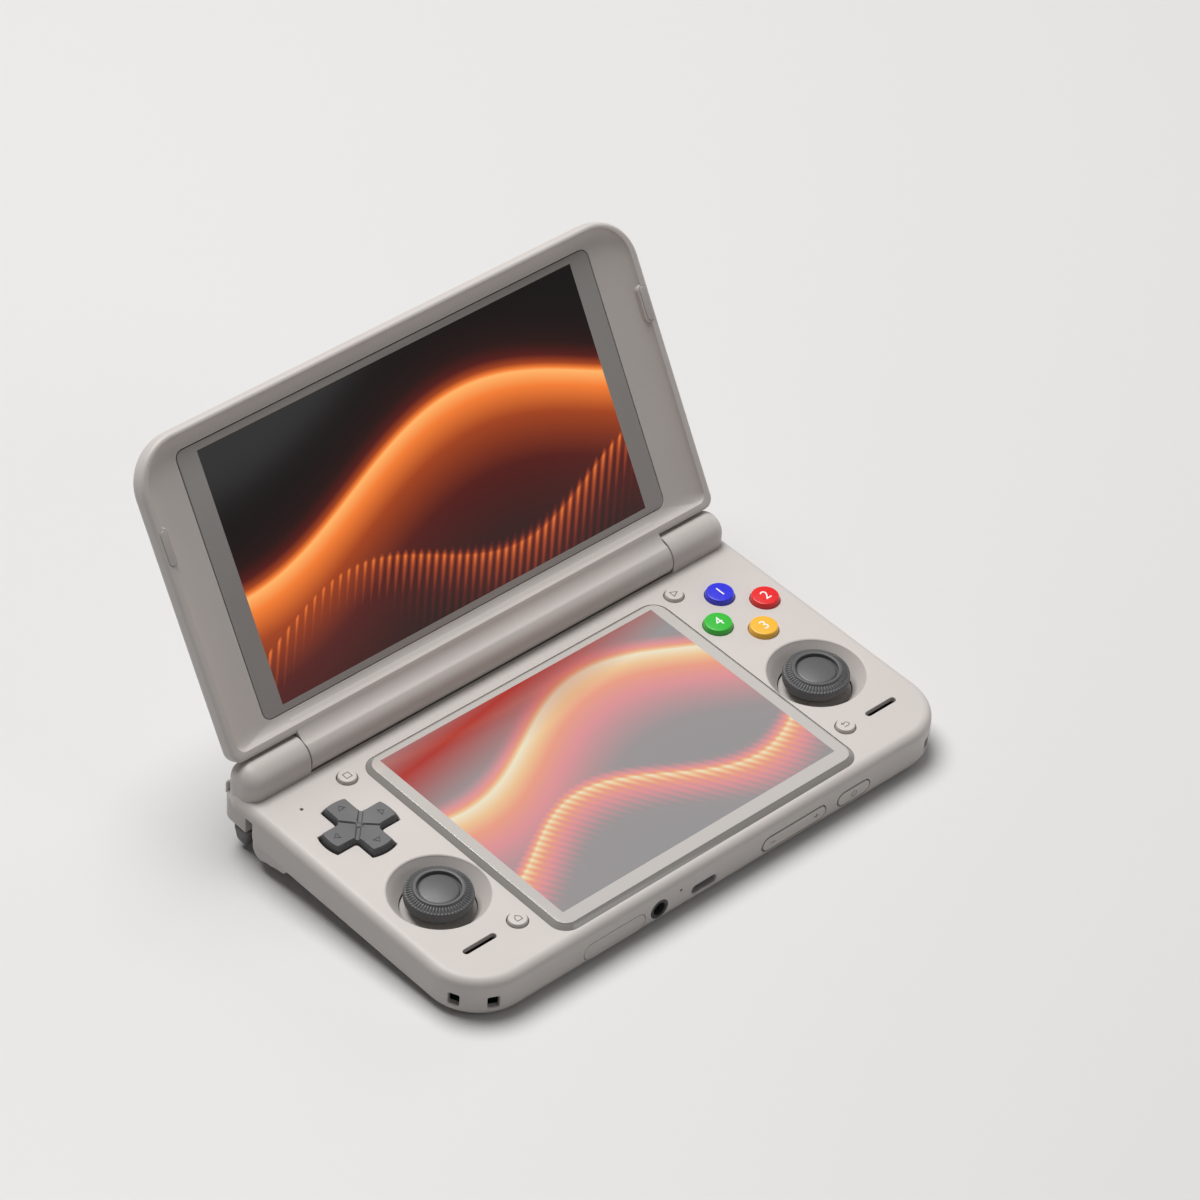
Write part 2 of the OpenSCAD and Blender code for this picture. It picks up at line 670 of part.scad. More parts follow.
module stick_collar(s) color("#c9c2bd") stand() side(s) rotate_extrude() polygon(concat(
    [[6, housing_top], [well_floor_r - 0.2, housing_top]],
    [for (t = [0 : 0.2 : 1]) [well_floor_r - 0.2 - t * (well_floor_r - 6.2), collar_z - 0.7 + 0.8 * t * (2 - t)]]));

module stick_collar_left() stick_collar(-1);
module stick_collar_right() stick_collar(1);

module stick_gimbal(s) color(steel) stand() side(s) translate([0, 0, pivot_z]) {
    difference() {
        cylinder(r = 5.6, h = 1.6, center = true);
        cylinder(r = 4.5, h = 3, center = true);
        rotate([90, 0, 0]) cylinder(r = 0.5 + fit, h = 12, center = true);
    }
    for (a = [0, 180]) rotate([0, 90, a]) translate([0, 0, 5.3]) cylinder(r = 0.8, h = 4.2);
}

module stick_gimbal_left() stick_gimbal(-1);
module stick_gimbal_right() stick_gimbal(1);

module stick_shaft(s) color("#8a8c90") stand() side(s) translate([0, 0, pivot_z]) {
    cylinder(r = shaft_r, h = stick_pivot - 0.3);
    sphere(shaft_r + 0.3);
    rotate([90, 0, 0]) cylinder(r = 0.5, h = 10.6, center = true);
}

module stick_shaft_left() stick_shaft(-1);
module stick_shaft_right() stick_shaft(1);

module stick_cap(s) color(dark) stand() side(s) translate([0, 0, deck]) rotate_extrude() polygon([
    [0, 0.3], [shaft_r + fit, 0.3], [shaft_r + fit, -cap_under], [0.52 * cap_r, -cap_under],
    [0.86 * cap_r, -0.72 * cap_under], [0.97 * cap_r, -0.36 * cap_under], [cap_r, 0],
    [cap_ring_r, cap_top], [cap_dish_r + 0.05, cap_top], [cap_dish_r, cap_top - 0.8],
    [0.6 * cap_dish_r, cap_top - 0.55], [0, cap_top - 0.4]]);

module stick_cap_left() stick_cap(-1);
module stick_cap_right() stick_cap(1);

module dpad() color(dark) stand() translate([-pad_x, pad_y, 0]) difference() {
    union() {
        slab(roof - 1.2, deck + pad_rise) pad_cross(0);
        slab(roof - 1.5, roof - 0.9) circle(pad_arm + 0.6);
        slab(pad_pivot_z, roof - 1) circle(3);
    }
    translate([0, 0, pad_pivot_z]) sphere(pad_ball_r + fit);
}

module dpad_pivot() color(steel) stand() translate([-pad_x, pad_y, pad_pivot_z]) sphere(pad_ball_r);

module membrane(s, bump) color("#8b8f8d") stand() translate([s * pad_x, pad_y, 0]) difference() {
    union() {
        slab(key_board_top, key_board_top + 0.5) circle(round_pitch + 3.6);
        for (a = [0 : 90 : 270]) rotate([0, 0, a]) translate([round_pitch, 0, key_board_top])
            cylinder(r = 2.2, h = bump);
    }
    translate([0, 0, key_board_top - 1]) cylinder(r = 3.2, h = 3);
}

module button_membrane_left() membrane(-1, 0.8);
module button_membrane_right() membrane(1, 1.2);

module control_board(s) color(board_green) stand() {
    slab(key_board_top - board_t, key_board_top) {
        translate([s * (pad_x - 0.55), pad_y - 0.05])
            square([key_board_w, key_board_d], center = true);
        translate([s * (small_x + 4.3), small_rear + 0.6]) square([19, 6.6], center = true);
        translate([s * small_x, -small_front]) square([8.4, 10.6], center = true);
    }
    for (y = [small_rear, -small_front]) translate([s * small_x - 2, y - 2, key_board_top - 0.01])
        cube([4, 4, 1.3]);
}

module control_board_left() control_board(-1);
module control_board_right() control_board(1);

// Round button: a cap through the deck with a flange below it
module round_key(a, tint) color(tint) stand()
    translate([pad_x + round_pitch * cos(a), pad_y + round_pitch * sin(a), 0]) {
        translate([0, 0, flange]) cylinder(r = round_r, h = deck - flange);
        translate([0, 0, deck]) cylinder(r1 = round_r, r2 = round_r - 0.29, h = round_rise);
        translate([0, 0, flange - 0.9]) cylinder(r = round_r + 0.6, h = 0.9);
    }

module button_top() round_key(90, "#2a2ad8");
module button_right() round_key(0, "#e03030");
module button_bottom() round_key(270, "#e8b830");
module button_left() round_key(180, "#34b034");

module small_key(s, y) color("#c8c2bd") stand() translate([s * small_x, y, 0]) {
    translate([0, 0, flange]) cylinder(r = small_r, h = deck - flange);
    translate([0, 0, deck]) cylinder(r1 = small_r, r2 = small_r - 0.25, h = small_rise);
    translate([0, 0, flange - 0.7]) cylinder(r = small_r + 0.7, h = 0.7);
}

module button_square() small_key(-1, small_rear);
module button_triangle() small_key(1, small_rear);
module button_home() small_key(-1, -small_front);
module button_return() small_key(1, -small_front);

// Bumper: a long key under the knuckle that swings about its inner end
module bumper() color(shell_dark) stand() difference() {
    slab(deck - bumper_bottom, bumper_top) intersection() {
        translate([0, bumper_rear - 15]) round_rect(2 * bumper_out, 30, 5);
        translate([rear_block_x + 0.6, bumper_front])
            square([bumper_out - rear_block_x, bumper_rear - bumper_front]);
    }
    translate([bumper_pin[0], bumper_pin[1], deck - bumper_bottom - 1])
        cylinder(r = shoulder_pin_r + fit, h = bumper_bottom);
}

module bumper_left() mirror([1, 0, 0]) bumper();
module bumper_right() bumper();

// Trigger: a curved key under the bumper that swings about a pin along X
module trigger() color(dark) stand() difference() {
    h = trigger_h;
    r = trigger_rear;
    translate([rear_block_x + 0.6, 0, trigger_top]) rotate([90, 0, 90])
        linear_extrude(trigger_out - rear_block_x - 0.6) polygon([
            [bumper_front + 0.2, 0], [r - 0.6, 0], [r, -0.7], [r - 0.3, -0.6 * h],
            [r - 1, -0.85 * h], [r - 2.2, -h], [46.6, -h], [45.8, -0.55 * h]]);
    translate([rear_block_x, trigger_pin[0], trigger_pin[1]]) rotate([0, 90, 0])
        cylinder(r = shoulder_pin_r + fit, h = 12.1);
}

module trigger_left() mirror([1, 0, 0]) trigger();
module trigger_right() trigger();

module shoulder_pins() color(steel) stand() both() {
    translate([bumper_pin[0], bumper_pin[1], deck - bumper_bottom])
        cylinder(r = shoulder_pin_r, h = bumper_bottom + ledge + 0.7 - deck);
    translate([rear_block_x - 4, trigger_pin[0], trigger_pin[1]]) rotate([0, 90, 0])
        cylinder(r = shoulder_pin_r, h = 16);
}

module front_key(x, w) color("#c8c2bd") stand() {
    through_front(x, key_z, -base_front - key_proud, front_in + 0.31)
        stadium(w, key_h);
    through_front(x, key_z, front_in + 0.3, front_in + 0.8) round_rect(w + 1.4, key_h + 0.6, 1);
}

module volume_rocker() front_key(rocker_x, rocker_w);
module power_button() front_key(power_x, power_w);

module side_switches() color(steel) stand()
    for (x = [rocker_x - 7, rocker_x + 7, power_x])
        translate([x - 2.2, front_in + 1.6, board_top]) cube([4.4, 2.4, key_z + 1.4 - board_top]);

module status_light() color("#e8f4e8") stand()
    through_front(-light_x, light_z, -base_front, front_in + 1.2) circle(light_r);

module lanyard_posts() color(steel) stand() both()
    translate([corner_r - half_w, corner_r - base_front, split]) rotate([0, 0, 225])
        translate([11, 0, 0]) cylinder(r = 1, h = roof - split);

module base_screws() color(steel) stand() screw_sites() difference() {
    union() {
        translate([0, 0, screw_seat - 0.9]) cylinder(r = screw_head_r, h = 0.9);
        translate([0, 0, screw_seat - 0.01]) cylinder(r = screw_r, h = 6);
    }
    for (a = [0, 90]) rotate([0, 0, a]) translate([-1.1, -0.25, screw_seat - 1.5]) cube([2.2, 0.5, 1]);
}

module rubber_feet() color(rubber) stand() feet();

module hinge_pins() color(steel) stand() both()
    translate([knuckle_out - 3 - pin_len, hinge_y, hinge_z]) rotate([0, 90, 0])
        cylinder(r = pin_r, h = pin_len);

// One level of a hulled lid form: four thin discs at the corners
module lid_level(x, y0, y1, r0, r1, z, h) for (s = [-1, 1]) {
    translate([s * (x - r0), y0 + r0, z]) cylinder(r = r0, h = h, $fn = 32);
    translate([s * (x - r1), y1 - r1, z]) cylinder(r = r1, h = h, $fn = 32);
}

module lid_ring(inset, z, h) lid_level(lid_w / 2 - inset, lid_near + inset, lid_far - inset,
    max(0.4, lid_near_r - inset), lid_far_r - inset, z, h);

module lid_form() hull() {
    for (a = [0 : 18 : 90])
        lid_ring(lid_back_round * (1 - cos(a)), lid_back_round * (1 - sin(a)) - lid_back, 0.01);
    for (a = [0 : 30 : 90])
        lid_ring(lid_rim_round * (1 - cos(a)), lid_rim - lid_rim_round * (1 - sin(a)) - 0.01, 0.01);
}

// Dished space in front of the upper display, rising to the rim in a quarter ellipse
module lid_dish() hull() {
    rise = lid_rim - upper_glass_z;
    for (a = [0 : 18 : 90]) lid_level(upper_seat_w / 2 + bezel_band * sin(a),
        upper_mid - upper_seat_d / 2 - lid_crest_near * sin(a),
        upper_mid + upper_seat_d / 2 + lid_crest_far * sin(a),
        upper_seat_r, upper_seat_r + 8.5 * sin(a),
        upper_glass_z + rise * (1 - cos(a)), a == 90 ? 3 : 0.01);
}

module lid_magnet_sites() both() translate([magnet_x, magnet_y, -lid_split]) children();

module lid_back_cover() color(shell) on_lid() {
    difference() {
        union() {
            intersection() {
                lid_form();
                block(lid_w, 0, 2 * lid_far, -lid_back - 1, -lid_split);
            }
            block(knuckle_in - gap / 2, 0, lid_near + 4.3, 0.3 - lid_back, -lid_split);
            block(knuckle_in - gap / 2, 0, lid_near, -lid_split, lid_rim - 0.2);
            translate([gap / 2 - knuckle_in, 0, 0]) rotate([0, 90, 0])
                cylinder(r = barrel_r, h = 2 * knuckle_in - gap);
        }
        translate([0, upper_mid, 0]) slab(panel_bottom, 0)
            round_rect(lid_w - 9, upper_panel_d + 2.6, 3);
        both() translate([knuckle_out - 4 - pin_len, 0, 0]) rotate([0, 90, 0])
            cylinder(r = pin_r + fit, h = pin_len);
    }
}

module lid_bezel() color(shell) on_lid() difference() {
    intersection() {
        lid_form();
        block(lid_w, 0, 2 * lid_far, -lid_split, lid_rim + 1);
    }
    lid_dish();
    translate([0, upper_mid, 0]) {
        slab(upper_glass_z - upper_glass_t, lid_rim) round_rect(upper_seat_w, upper_seat_d, upper_seat_r);
        slab(-lid_split - 1, lid_rim) square([upper_panel_w + gap, upper_panel_d + gap], center = true);
    }
    buffers(lid_rim - 1.2);
    lid_magnet_sites() translate([0, 0, -1]) cylinder(r = magnet_r, h = 2.9);
}

module upper_display_glass() color("#6f6b67") on_lid() translate([0, upper_mid, 0])
    slab(upper_glass_z - upper_glass_t, upper_glass_z)
        round_rect(upper_seat_w - 2 * gap, upper_seat_d - 2 * gap, upper_seat_r - gap);

module upper_display_panel() color("#1d1e22") on_lid() translate([0, upper_mid, 0])
    slab(panel_bottom, upper_glass_z - upper_glass_t)
        square([upper_panel_w, upper_panel_d], center = true);

module buffers(z0) both() translate([lid_w / 2 - lid_rim_round - buffer_w / 2, upper_mid + buffer_y, z0])
    linear_extrude(lid_rim + 0.25 - z0) rotate(90) stadium(buffer_len, buffer_w);

module lid_buffers() color(rubber) on_lid() buffers(lid_rim - 1.2);

module lid_magnets() color(steel) on_lid() lid_magnet_sites() cylinder(r = magnet_r, h = 1.9);

base_top_cover();
base_bottom_cover();
lower_display_glass();
lower_display_panel();
main_board();
battery();
fan_housing();
fan_impeller();
heatsink();
rear_vent_grille();
headphone_jack();
usb_c_port();
card_socket();
card_cover();
speaker_left();
speaker_right();
stick_housing_left();
stick_housing_right();
stick_collar_left();
stick_collar_right();
stick_gimbal_left();
stick_gimbal_right();
stick_shaft_left();
stick_shaft_right();
stick_cap_left();
stick_cap_right();
dpad();
dpad_pivot();
button_membrane_left();
button_membrane_right();
control_board_left();
control_board_right();
button_top();
button_right();
button_bottom();
button_left();
button_square();
button_triangle();
button_home();
button_return();
bumper_left();
bumper_right();
trigger_left();
trigger_right();
shoulder_pins();
volume_rocker();
power_button();
side_switches();
status_light();
lanyard_posts();
base_screws();
rubber_feet();
hinge_pins();
lid_back_cover();
lid_bezel();
upper_display_glass();
upper_display_panel();
lid_buffers();
lid_magnets();
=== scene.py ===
"""A clamshell handheld game console with two displays, standing open on its feet."""
import json
from math import cos, pi, radians, sin, sqrt

import bmesh
import bpy
import numpy as np
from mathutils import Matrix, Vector


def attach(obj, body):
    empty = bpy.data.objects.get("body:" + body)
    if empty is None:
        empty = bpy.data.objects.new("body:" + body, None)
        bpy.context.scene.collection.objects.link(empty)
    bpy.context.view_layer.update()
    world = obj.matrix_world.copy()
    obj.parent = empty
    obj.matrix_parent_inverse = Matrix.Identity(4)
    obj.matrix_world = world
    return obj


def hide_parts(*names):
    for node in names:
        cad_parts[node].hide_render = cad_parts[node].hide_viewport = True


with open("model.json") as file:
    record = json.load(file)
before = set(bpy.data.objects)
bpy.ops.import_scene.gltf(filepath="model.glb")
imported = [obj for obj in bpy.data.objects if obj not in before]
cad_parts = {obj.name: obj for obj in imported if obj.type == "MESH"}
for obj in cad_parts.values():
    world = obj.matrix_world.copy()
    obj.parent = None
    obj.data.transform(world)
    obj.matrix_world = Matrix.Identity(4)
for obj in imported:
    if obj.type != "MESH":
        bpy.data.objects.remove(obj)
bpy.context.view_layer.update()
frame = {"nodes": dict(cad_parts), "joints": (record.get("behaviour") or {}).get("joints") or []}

# ---- Camera, floor and light ----
# A long lens looks down on the front left corner. The floor is a pale sheet that curves
# up behind, lit by one large soft box overhead and two weaker ones at the sides.
joint = {j["name"]: j for j in frame["joints"]}
ACROSS = np.array([1.0, 0.0, 0.0])
DECK_UP = -np.array(joint["press_top"]["axis"])
DECK_BACK = np.cross(DECK_UP, ACROSS)
HINGE = np.array(joint["lid_hinge"]["pos_m"])
HINGE_Y, HINGE_Z = 47.6, 1.8
DECK_AT = HINGE - 0.001 * (HINGE_Y * DECK_BACK + HINGE_Z * DECK_UP)


def on_deck(p):
    """Millimetres in the deck frame (across, back, up from the lower glass) to metres."""
    return DECK_AT + 0.001 * np.asarray(p, float) @ np.array([ACROSS, DECK_BACK, DECK_UP])


aim = Vector(on_deck((11.87, 18.95, 32.34)))
turn, tilt, distance = radians(-42.06), radians(37.72), 1.2418
back = Vector((sin(turn) * cos(tilt), -cos(turn) * cos(tilt), sin(tilt)))
eye = bpy.data.cameras.new("eye")
eye.lens, eye.sensor_width, eye.clip_end = 149.57, 36, 20
camera = bpy.data.objects.new("eye", eye)
camera.location = aim + distance * back
camera.rotation_euler = (-back).to_track_quat("-Z", "Y").to_euler()
bpy.context.scene.collection.objects.link(camera)
bpy.context.scene.camera = camera
bpy.context.scene.view_settings.view_transform = "Standard"


def sweep_sheet(half_width, front, rear, radius, height):
    """A flat sheet from front to rear, then a quarter circle up to a wall: rows along Y."""
    bend = np.linspace(0, pi / 2, 24)
    y = np.concatenate([[front], rear + radius * np.sin(bend), [rear + radius]])
    z = np.concatenate([[0], radius * (1 - np.cos(bend)), [height]])
    return np.stack([np.stack([np.full_like(y, x), y, z], 1) for x in (-half_width, half_width)])


sheet = sweep_sheet(half_width=4.0, front=-3.0, rear=2.2, radius=0.8, height=3.0)
index = np.arange(sheet.shape[0] * sheet.shape[1]).reshape(sheet.shape[:2])
quads = np.stack([index[0, :-1], index[1, :-1], index[1, 1:], index[0, 1:]], 1)
floor_mesh = bpy.data.meshes.new("floor")
floor_mesh.from_pydata(sheet.reshape(-1, 3), [], quads.tolist())
floor_mesh.shade_smooth()
floor = bpy.data.objects.new("floor", floor_mesh)
bpy.context.scene.collection.objects.link(floor)
paper = bpy.data.materials.new("floor_paper")
paper.use_nodes = True
paper.node_tree.nodes["Principled BSDF"].inputs["Base Color"].default_value = (0.63, 0.625, 0.62, 1)
paper.node_tree.nodes["Principled BSDF"].inputs["Roughness"].default_value = 0.45
floor_mesh.materials.append(paper)

for name, power, size, place in (("overhead", 40, 1.3, (0.05, 0.56, 1.72)),
                                 ("right", 5, 1.0, (1.9, 0.2, 0.7)),
                                 ("front", 4.0, 1.0, (0.7, -1.8, 1.0))):
    lamp = bpy.data.lights.new(name, "AREA")
    lamp.shape, lamp.size, lamp.energy = "DISK", size, power
    light = bpy.data.objects.new(name, lamp)
    light.location = place
    light.rotation_euler = (aim - light.location).to_track_quat("-Z", "Y").to_euler()
    bpy.context.scene.collection.objects.link(light)
world = bpy.data.worlds.new("studio")
world.use_nodes = True
world.node_tree.nodes["Background"].inputs["Color"].default_value = (1.0, 0.99, 0.98, 1)
world.node_tree.nodes["Background"].inputs["Strength"].default_value = 0.14
bpy.context.scene.world = world

# ---- Base, upper half ----
# The top cover is one moulding: deck, walls, the wells of the two sticks, the two hinge
# knuckles and the vent block at the rear. It is grained, paint-free plastic.
HALF_W, FRONT, SIDE_END = 81.5, -42.3, 43.0
CORNER, REAR_CORNER, TOP_EDGE, LOW_EDGE, WALL = 15.0, 4.0, 2.6, 3.0, 1.5
DECK, ROOF, SPLIT, FLOOR = -1.2, -2.6, -11.6, -13.3
LEDGE, REAR_TOP, REAR_X, REAR_Y = -5.0, -3.0, 50.0, 52.3
BARREL, BARREL_GAP, KNUCKLE_IN, KNUCKLE_OUT, KNUCKLE_ROUND = 5.3, 0.35, 61.15, 80.5, 4.0
STICK_X, STICK_Y, WELL, WELL_FLOOR, WELL_DEPTH, WELL_LIP = 63.6, -9.2, 12.97, 9.7, 4.8, 0.45
PAD_X, PAD_Y, PITCH = 64.55, 19.85, 8.35
SMALL_X, SMALL_REAR, SMALL_FRONT = 55.2, 35.6, -28.6
SPEAKER_X, SPEAKER_Y, MIC_X, MIC_Y = 67.5, -28.8, -71.2, 33.9
PORT_Z, JACK_Z, LIGHT_Z, KEY_Z = DECK - 7.7, DECK - 7.2, DECK - 5.0, DECK - 7.3
USB_Z, LANYARD_Z = PORT_Z - 0.15, DECK - 7.1
CARD_X, JACK_X, LIGHT_X, USB_X, ROCKER_X, POWER_X = -35.3, -20.6, -13.6, -5.6, 25.0, 45.7
GLASS_X, GLASS_Y0, GLASS_Y1, GLASS_R, BEVEL = 48.9, -38.3, 36.0, 3.5, 1.4
PAD_HOLE, PAD_HOLE_HALF, ROUND_HOLE, SMALL_HOLE, MIC_HOLE = 10.7, 3.9, 4.05, 2.8, 0.45
SPEAKER_W, SPEAKER_H, JACK_HOLE, LIGHT_HOLE = 10.2, 1.7, 2.82, 0.42
WINDOW_X, WINDOW_Y0, WINDOW_Y1, SEAT_CORNER = 47.15, -36.8, 34.5, 4.9
SIDES, QUARTERS = (-1, 1), np.arange(4) * pi / 2


def outline(half, y0, y1, r0, r1, steps=10):
    """A closed rectangle loop with corner arcs of radius r0 at y0 and r1 at y1."""
    a = np.linspace(0, pi / 2, steps)
    arcs = []
    for cx, cy, r, start in ((half - r0, y0 + r0, r0, -pi / 2), (half - r1, y1 - r1, r1, 0),
                             (r1 - half, y1 - r1, r1, pi / 2), (r0 - half, y0 + r0, r0, pi)):
        arcs.append(np.stack([cx + r * np.cos(a + start), cy + r * np.sin(a + start)], 1))
    return np.vstack(arcs)


def ring(r, steps=48):
    """A circle of radius r as a loop."""
    a = np.linspace(0, 2 * pi, steps, endpoint=False)
    return np.stack([r * np.cos(a), r * np.sin(a)], 1)


def stadium(w, h, grow=0.0, steps=14):
    """A slot loop of width w and height h, half-round at both ends."""
    r = h / 2 + grow
    a = np.linspace(-pi / 2, pi / 2, steps)
    right = np.stack([(w - h) / 2 + r * np.cos(a), r * np.sin(a)], 1)
    return np.vstack([right, -right])


def turned(points, t):
    """Flat points turned about the origin by the angle t."""
    return points @ np.array([[cos(t), sin(t)], [-sin(t), cos(t)]])


def cross(arm, half, steps=10, corner=0.9):
    """A plus-shaped loop: four arms ended by an arc about the centre, inner corners round."""
    tip = np.arctan2(half, sqrt(arm ** 2 - half ** 2))
    a = np.linspace(-tip, tip, steps)
    b = np.linspace(-pi / 2, -pi, steps)
    arm_end = np.stack([arm * np.cos(a), arm * np.sin(a)], 1)
    elbow = half + corner + corner * np.stack([np.cos(b), np.sin(b)], 1)
    side = np.vstack([arm_end, elbow])
    return np.vstack([turned(side, t) for t in QUARTERS])


def level(loop, z):
    """A flat loop lifted to height z."""
    return np.column_stack([loop, np.full(len(loop), z)])


def section_at(x, section):
    """A lengthwise section, a loop of (back, up), placed at x."""
    return np.column_stack([np.full(len(section), x), section])


def tube(rows, closed=False):
    """Quads between neighbouring loops; the ends are capped, or joined when closed."""
    p = np.array(rows, float)
    m, n = p.shape[:2]
    index = np.arange(m * n).reshape(m, n)
    lower = index if closed else index[:-1]
    upper = np.roll(index, -1, 0) if closed else index[1:]
    quads = np.stack([lower, np.roll(lower, -1, 1), np.roll(upper, -1, 1), upper], -1)
    faces = quads.reshape(-1, 4).tolist()
    if not closed:
        faces += [index[0, ::-1].tolist(), index[-1].tolist()]
    return p.reshape(-1, 3), faces


def prism(loop, *heights):
    """One loop carried straight up through the heights."""
    return tube([level(loop, z) for z in heights])


def stack(loop_at, *steps):
    """The loops loop_at(inset) at each (height, inset) of the steps."""
    return tube([level(loop_at(g), z) for z, g in steps])


def lathe(profile, x=0.0, y=0.0, steps=64, closed=False):
    """Points (r, z) turned about the vertical through x, y."""
    a = np.linspace(0, 2 * pi, steps, endpoint=False)
    return tube([np.column_stack([x + r * np.cos(a), y + r * np.sin(a), np.full(steps, z)])
                 for r, z in profile], closed)


def shifted(part, x=0.0, y=0.0, z=0.0):
    """A part moved in its frame."""
    return part[0] + np.array([x, y, z]), part[1]


def facing_front(part, x, z):
    """A part drawn looking along +Z set into the front wall: its Z points out of the wall."""
    p = part[0]
    return np.column_stack([x + p[:, 0], FRONT - p[:, 2], z + p[:, 1]]), part[1]


def smooth(made, sharp=32):
    """Smooth shading that stays sharp where faces meet at more than this angle."""
    made.data.shade_smooth()
    made.data.set_sharp_from_angle(angle=radians(sharp))


def solid(name, *parts, place=on_deck, sharp=32):
    """One closed mesh from parts in millimetres, welded, with its faces turned out."""
    points, faces, start = [], [], 0
    for p, f in parts:
        points.append(p)
        faces += [[i + start for i in face] for face in f]
        start += len(p)
    mesh = bpy.data.meshes.new(name)
    mesh.from_pydata(place(np.vstack(points)), [], faces)
    build = bmesh.new()
    build.from_mesh(mesh)
    bmesh.ops.remove_doubles(build, verts=build.verts, dist=2e-7)
    bmesh.ops.recalc_face_normals(build, faces=build.faces)
    build.to_mesh(mesh)
    build.free()
    made = bpy.data.objects.new(name, mesh)
    bpy.context.scene.collection.objects.link(made)
    smooth(made, sharp)
    return made


def combine(made, tool, operation):
    """Cuts the tool from the piece (DIFFERENCE) or joins it on (UNION), and deletes it."""
    change = made.modifiers.new("cut", "BOOLEAN")
    change.object, change.operation, change.solver = tool, operation, "MANIFOLD"
    ready = made.evaluated_get(bpy.context.evaluated_depsgraph_get())
    mesh = bpy.data.meshes.new_from_object(ready)
    made.modifiers.clear()
    made.data = mesh
    mesh.name = made.name
    bpy.data.objects.remove(tool)
    smooth(made)


def cut(made, *parts, place=on_deck):
    """Cuts all the parts from the piece at once."""
    combine(made, solid("tool", *parts, place=place), "DIFFERENCE")


def join(made, *parts, place=on_deck):
    """Joins all the parts to the piece at once."""
    combine(made, solid("tool", *parts, place=place), "UNION")


def dress(made, material, flats=False):
    """Gives a piece its one material; with flats, area-weighted normals keep flat faces
    flat beside their rounded edges."""
    made.data.materials.clear()
    made.data.materials.append(material)
    if flats:
        weighted = made.modifiers.new("flats", "WEIGHTED_NORMAL")
        weighted.keep_sharp, weighted.weight = True, 80


def rounded(past, r):
    """How far a quarter round of radius r has drawn in, so far past its start."""
    return r - sqrt(max(r ** 2 - max(past, 0.0) ** 2, 0))


def quarter(steps):
    """Even angles of a quarter turn."""
    return np.linspace(0, pi / 2, steps)


def rim(top, r, steps):
    """(height, inset) steps of a quarter round of radius r from a wall into a flat top."""
    return [(top - r * (1 - sin(t)), r * (1 - cos(t))) for t in quarter(steps)]


def shelled(z0, z1, r_low, r_top, steps):
    """(height, inset) steps up a wall with a quarter round at its foot and at its top."""
    low = [(z0 + r_low * (1 - cos(t)), r_low * (1 - sin(t))) for t in quarter(steps)]
    return low + rim(z1, r_top, steps)


def base_rows(z0, z1, rear=SIDE_END, rear_corner=REAR_CORNER):
    """Loops of the base's outer form between two heights, following both edge rounds."""
    zs = [z for z, _ in shelled(FLOOR, DECK, LOW_EDGE, TOP_EDGE, 12) if z0 < z < z1]
    rows = []
    for z in [z0] + zs + [z1]:
        g = rounded(FLOOR + LOW_EDGE - z, LOW_EDGE) + rounded(z - DECK + TOP_EDGE, TOP_EDGE)
        rows.append(level(outline(HALF_W - g, FRONT + g, rear - g, CORNER - g, rear_corner - g, 14), z))
    return rows


def plug(loop_at, top, bottom, lip):
    """A cutter: loop_at(grow) from bottom to top, flaring by a quarter round of size lip."""
    flare = [(z + 0.002, grow) for z, grow in rim(top, lip, 5)]
    return stack(loop_at, (bottom, 0.0), *flare, (top + 1.0, lip))


def deck_hole(loop_at, lip, x, y):
    """A cutter through the deck's sheet."""
    return shifted(plug(loop_at, DECK, ROOF - 1, lip), x, y)


def front_hole(loop_at, lip, x, z):
    """A cutter through the front wall."""
    return facing_front(plug(loop_at, 0, -3, lip), x, z)


def knuckle(side, hair=0.15):
    """A D-shaped section (round above, straight down to the ledge) drawn along X, whose
    outer end draws in by a quarter round and whose inner end has a hair of an edge."""
    a = np.linspace(0, pi, 40)
    ends = KNUCKLE_OUT - KNUCKLE_ROUND * (1 - np.sin(quarter(14)))
    rows = []
    for x in (KNUCKLE_IN, KNUCKLE_IN + hair, *ends):
        r = BARREL - (hair if x == KNUCKLE_IN else rounded(x - KNUCKLE_OUT + KNUCKLE_ROUND, KNUCKLE_ROUND))
        y = np.concatenate([[r], r * np.cos(a), [-r]]) + HINGE_Y
        z = np.concatenate([[LEDGE + 0.15], HINGE_Z + r * np.sin(a), [LEDGE + 0.15]])
        rows.append(section_at(side * x, np.stack([y, z], 1)))
    return tube(rows)


shell = solid("base_shell", tube(base_rows(SPLIT, DECK)))
join(shell, stack(lambda g: outline(REAR_X - g, 38.0, REAR_Y - g, 0.5, 1.2),
                  (SPLIT, 0.15), (SPLIT + 0.15, 0), (LEDGE - 0.1, 0)))
for side in SIDES:
    join(shell, knuckle(side))
cheeks = solid("cheeks", tube(base_rows(LEDGE + 0.1, DECK - 0.001, HINGE_Y + BARREL - 0.1, 6.0)))
for half, y0, y1 in ((KNUCKLE_IN, 0, 60), (90, -60, 34)):
    cut(cheeks, prism(outline(half, y0, y1, 0.2, 0.2), -9, 3))
combine(shell, cheeks, "UNION")
LAP = KNUCKLE_IN + 0.3
join(shell, prism(outline(LAP, 39.25, HINGE_Y + 0.4, 0.3, 0.3), LEDGE, DECK - 0.002))
join(shell, stack(lambda g: outline(LAP, HINGE_Y - 1, REAR_Y - g, 0.3, 0.5), (LEDGE + 0.001, 0.5),
                  (LEDGE + 0.5, 0), (REAR_TOP - 0.5, 0), (REAR_TOP, 0.5)))

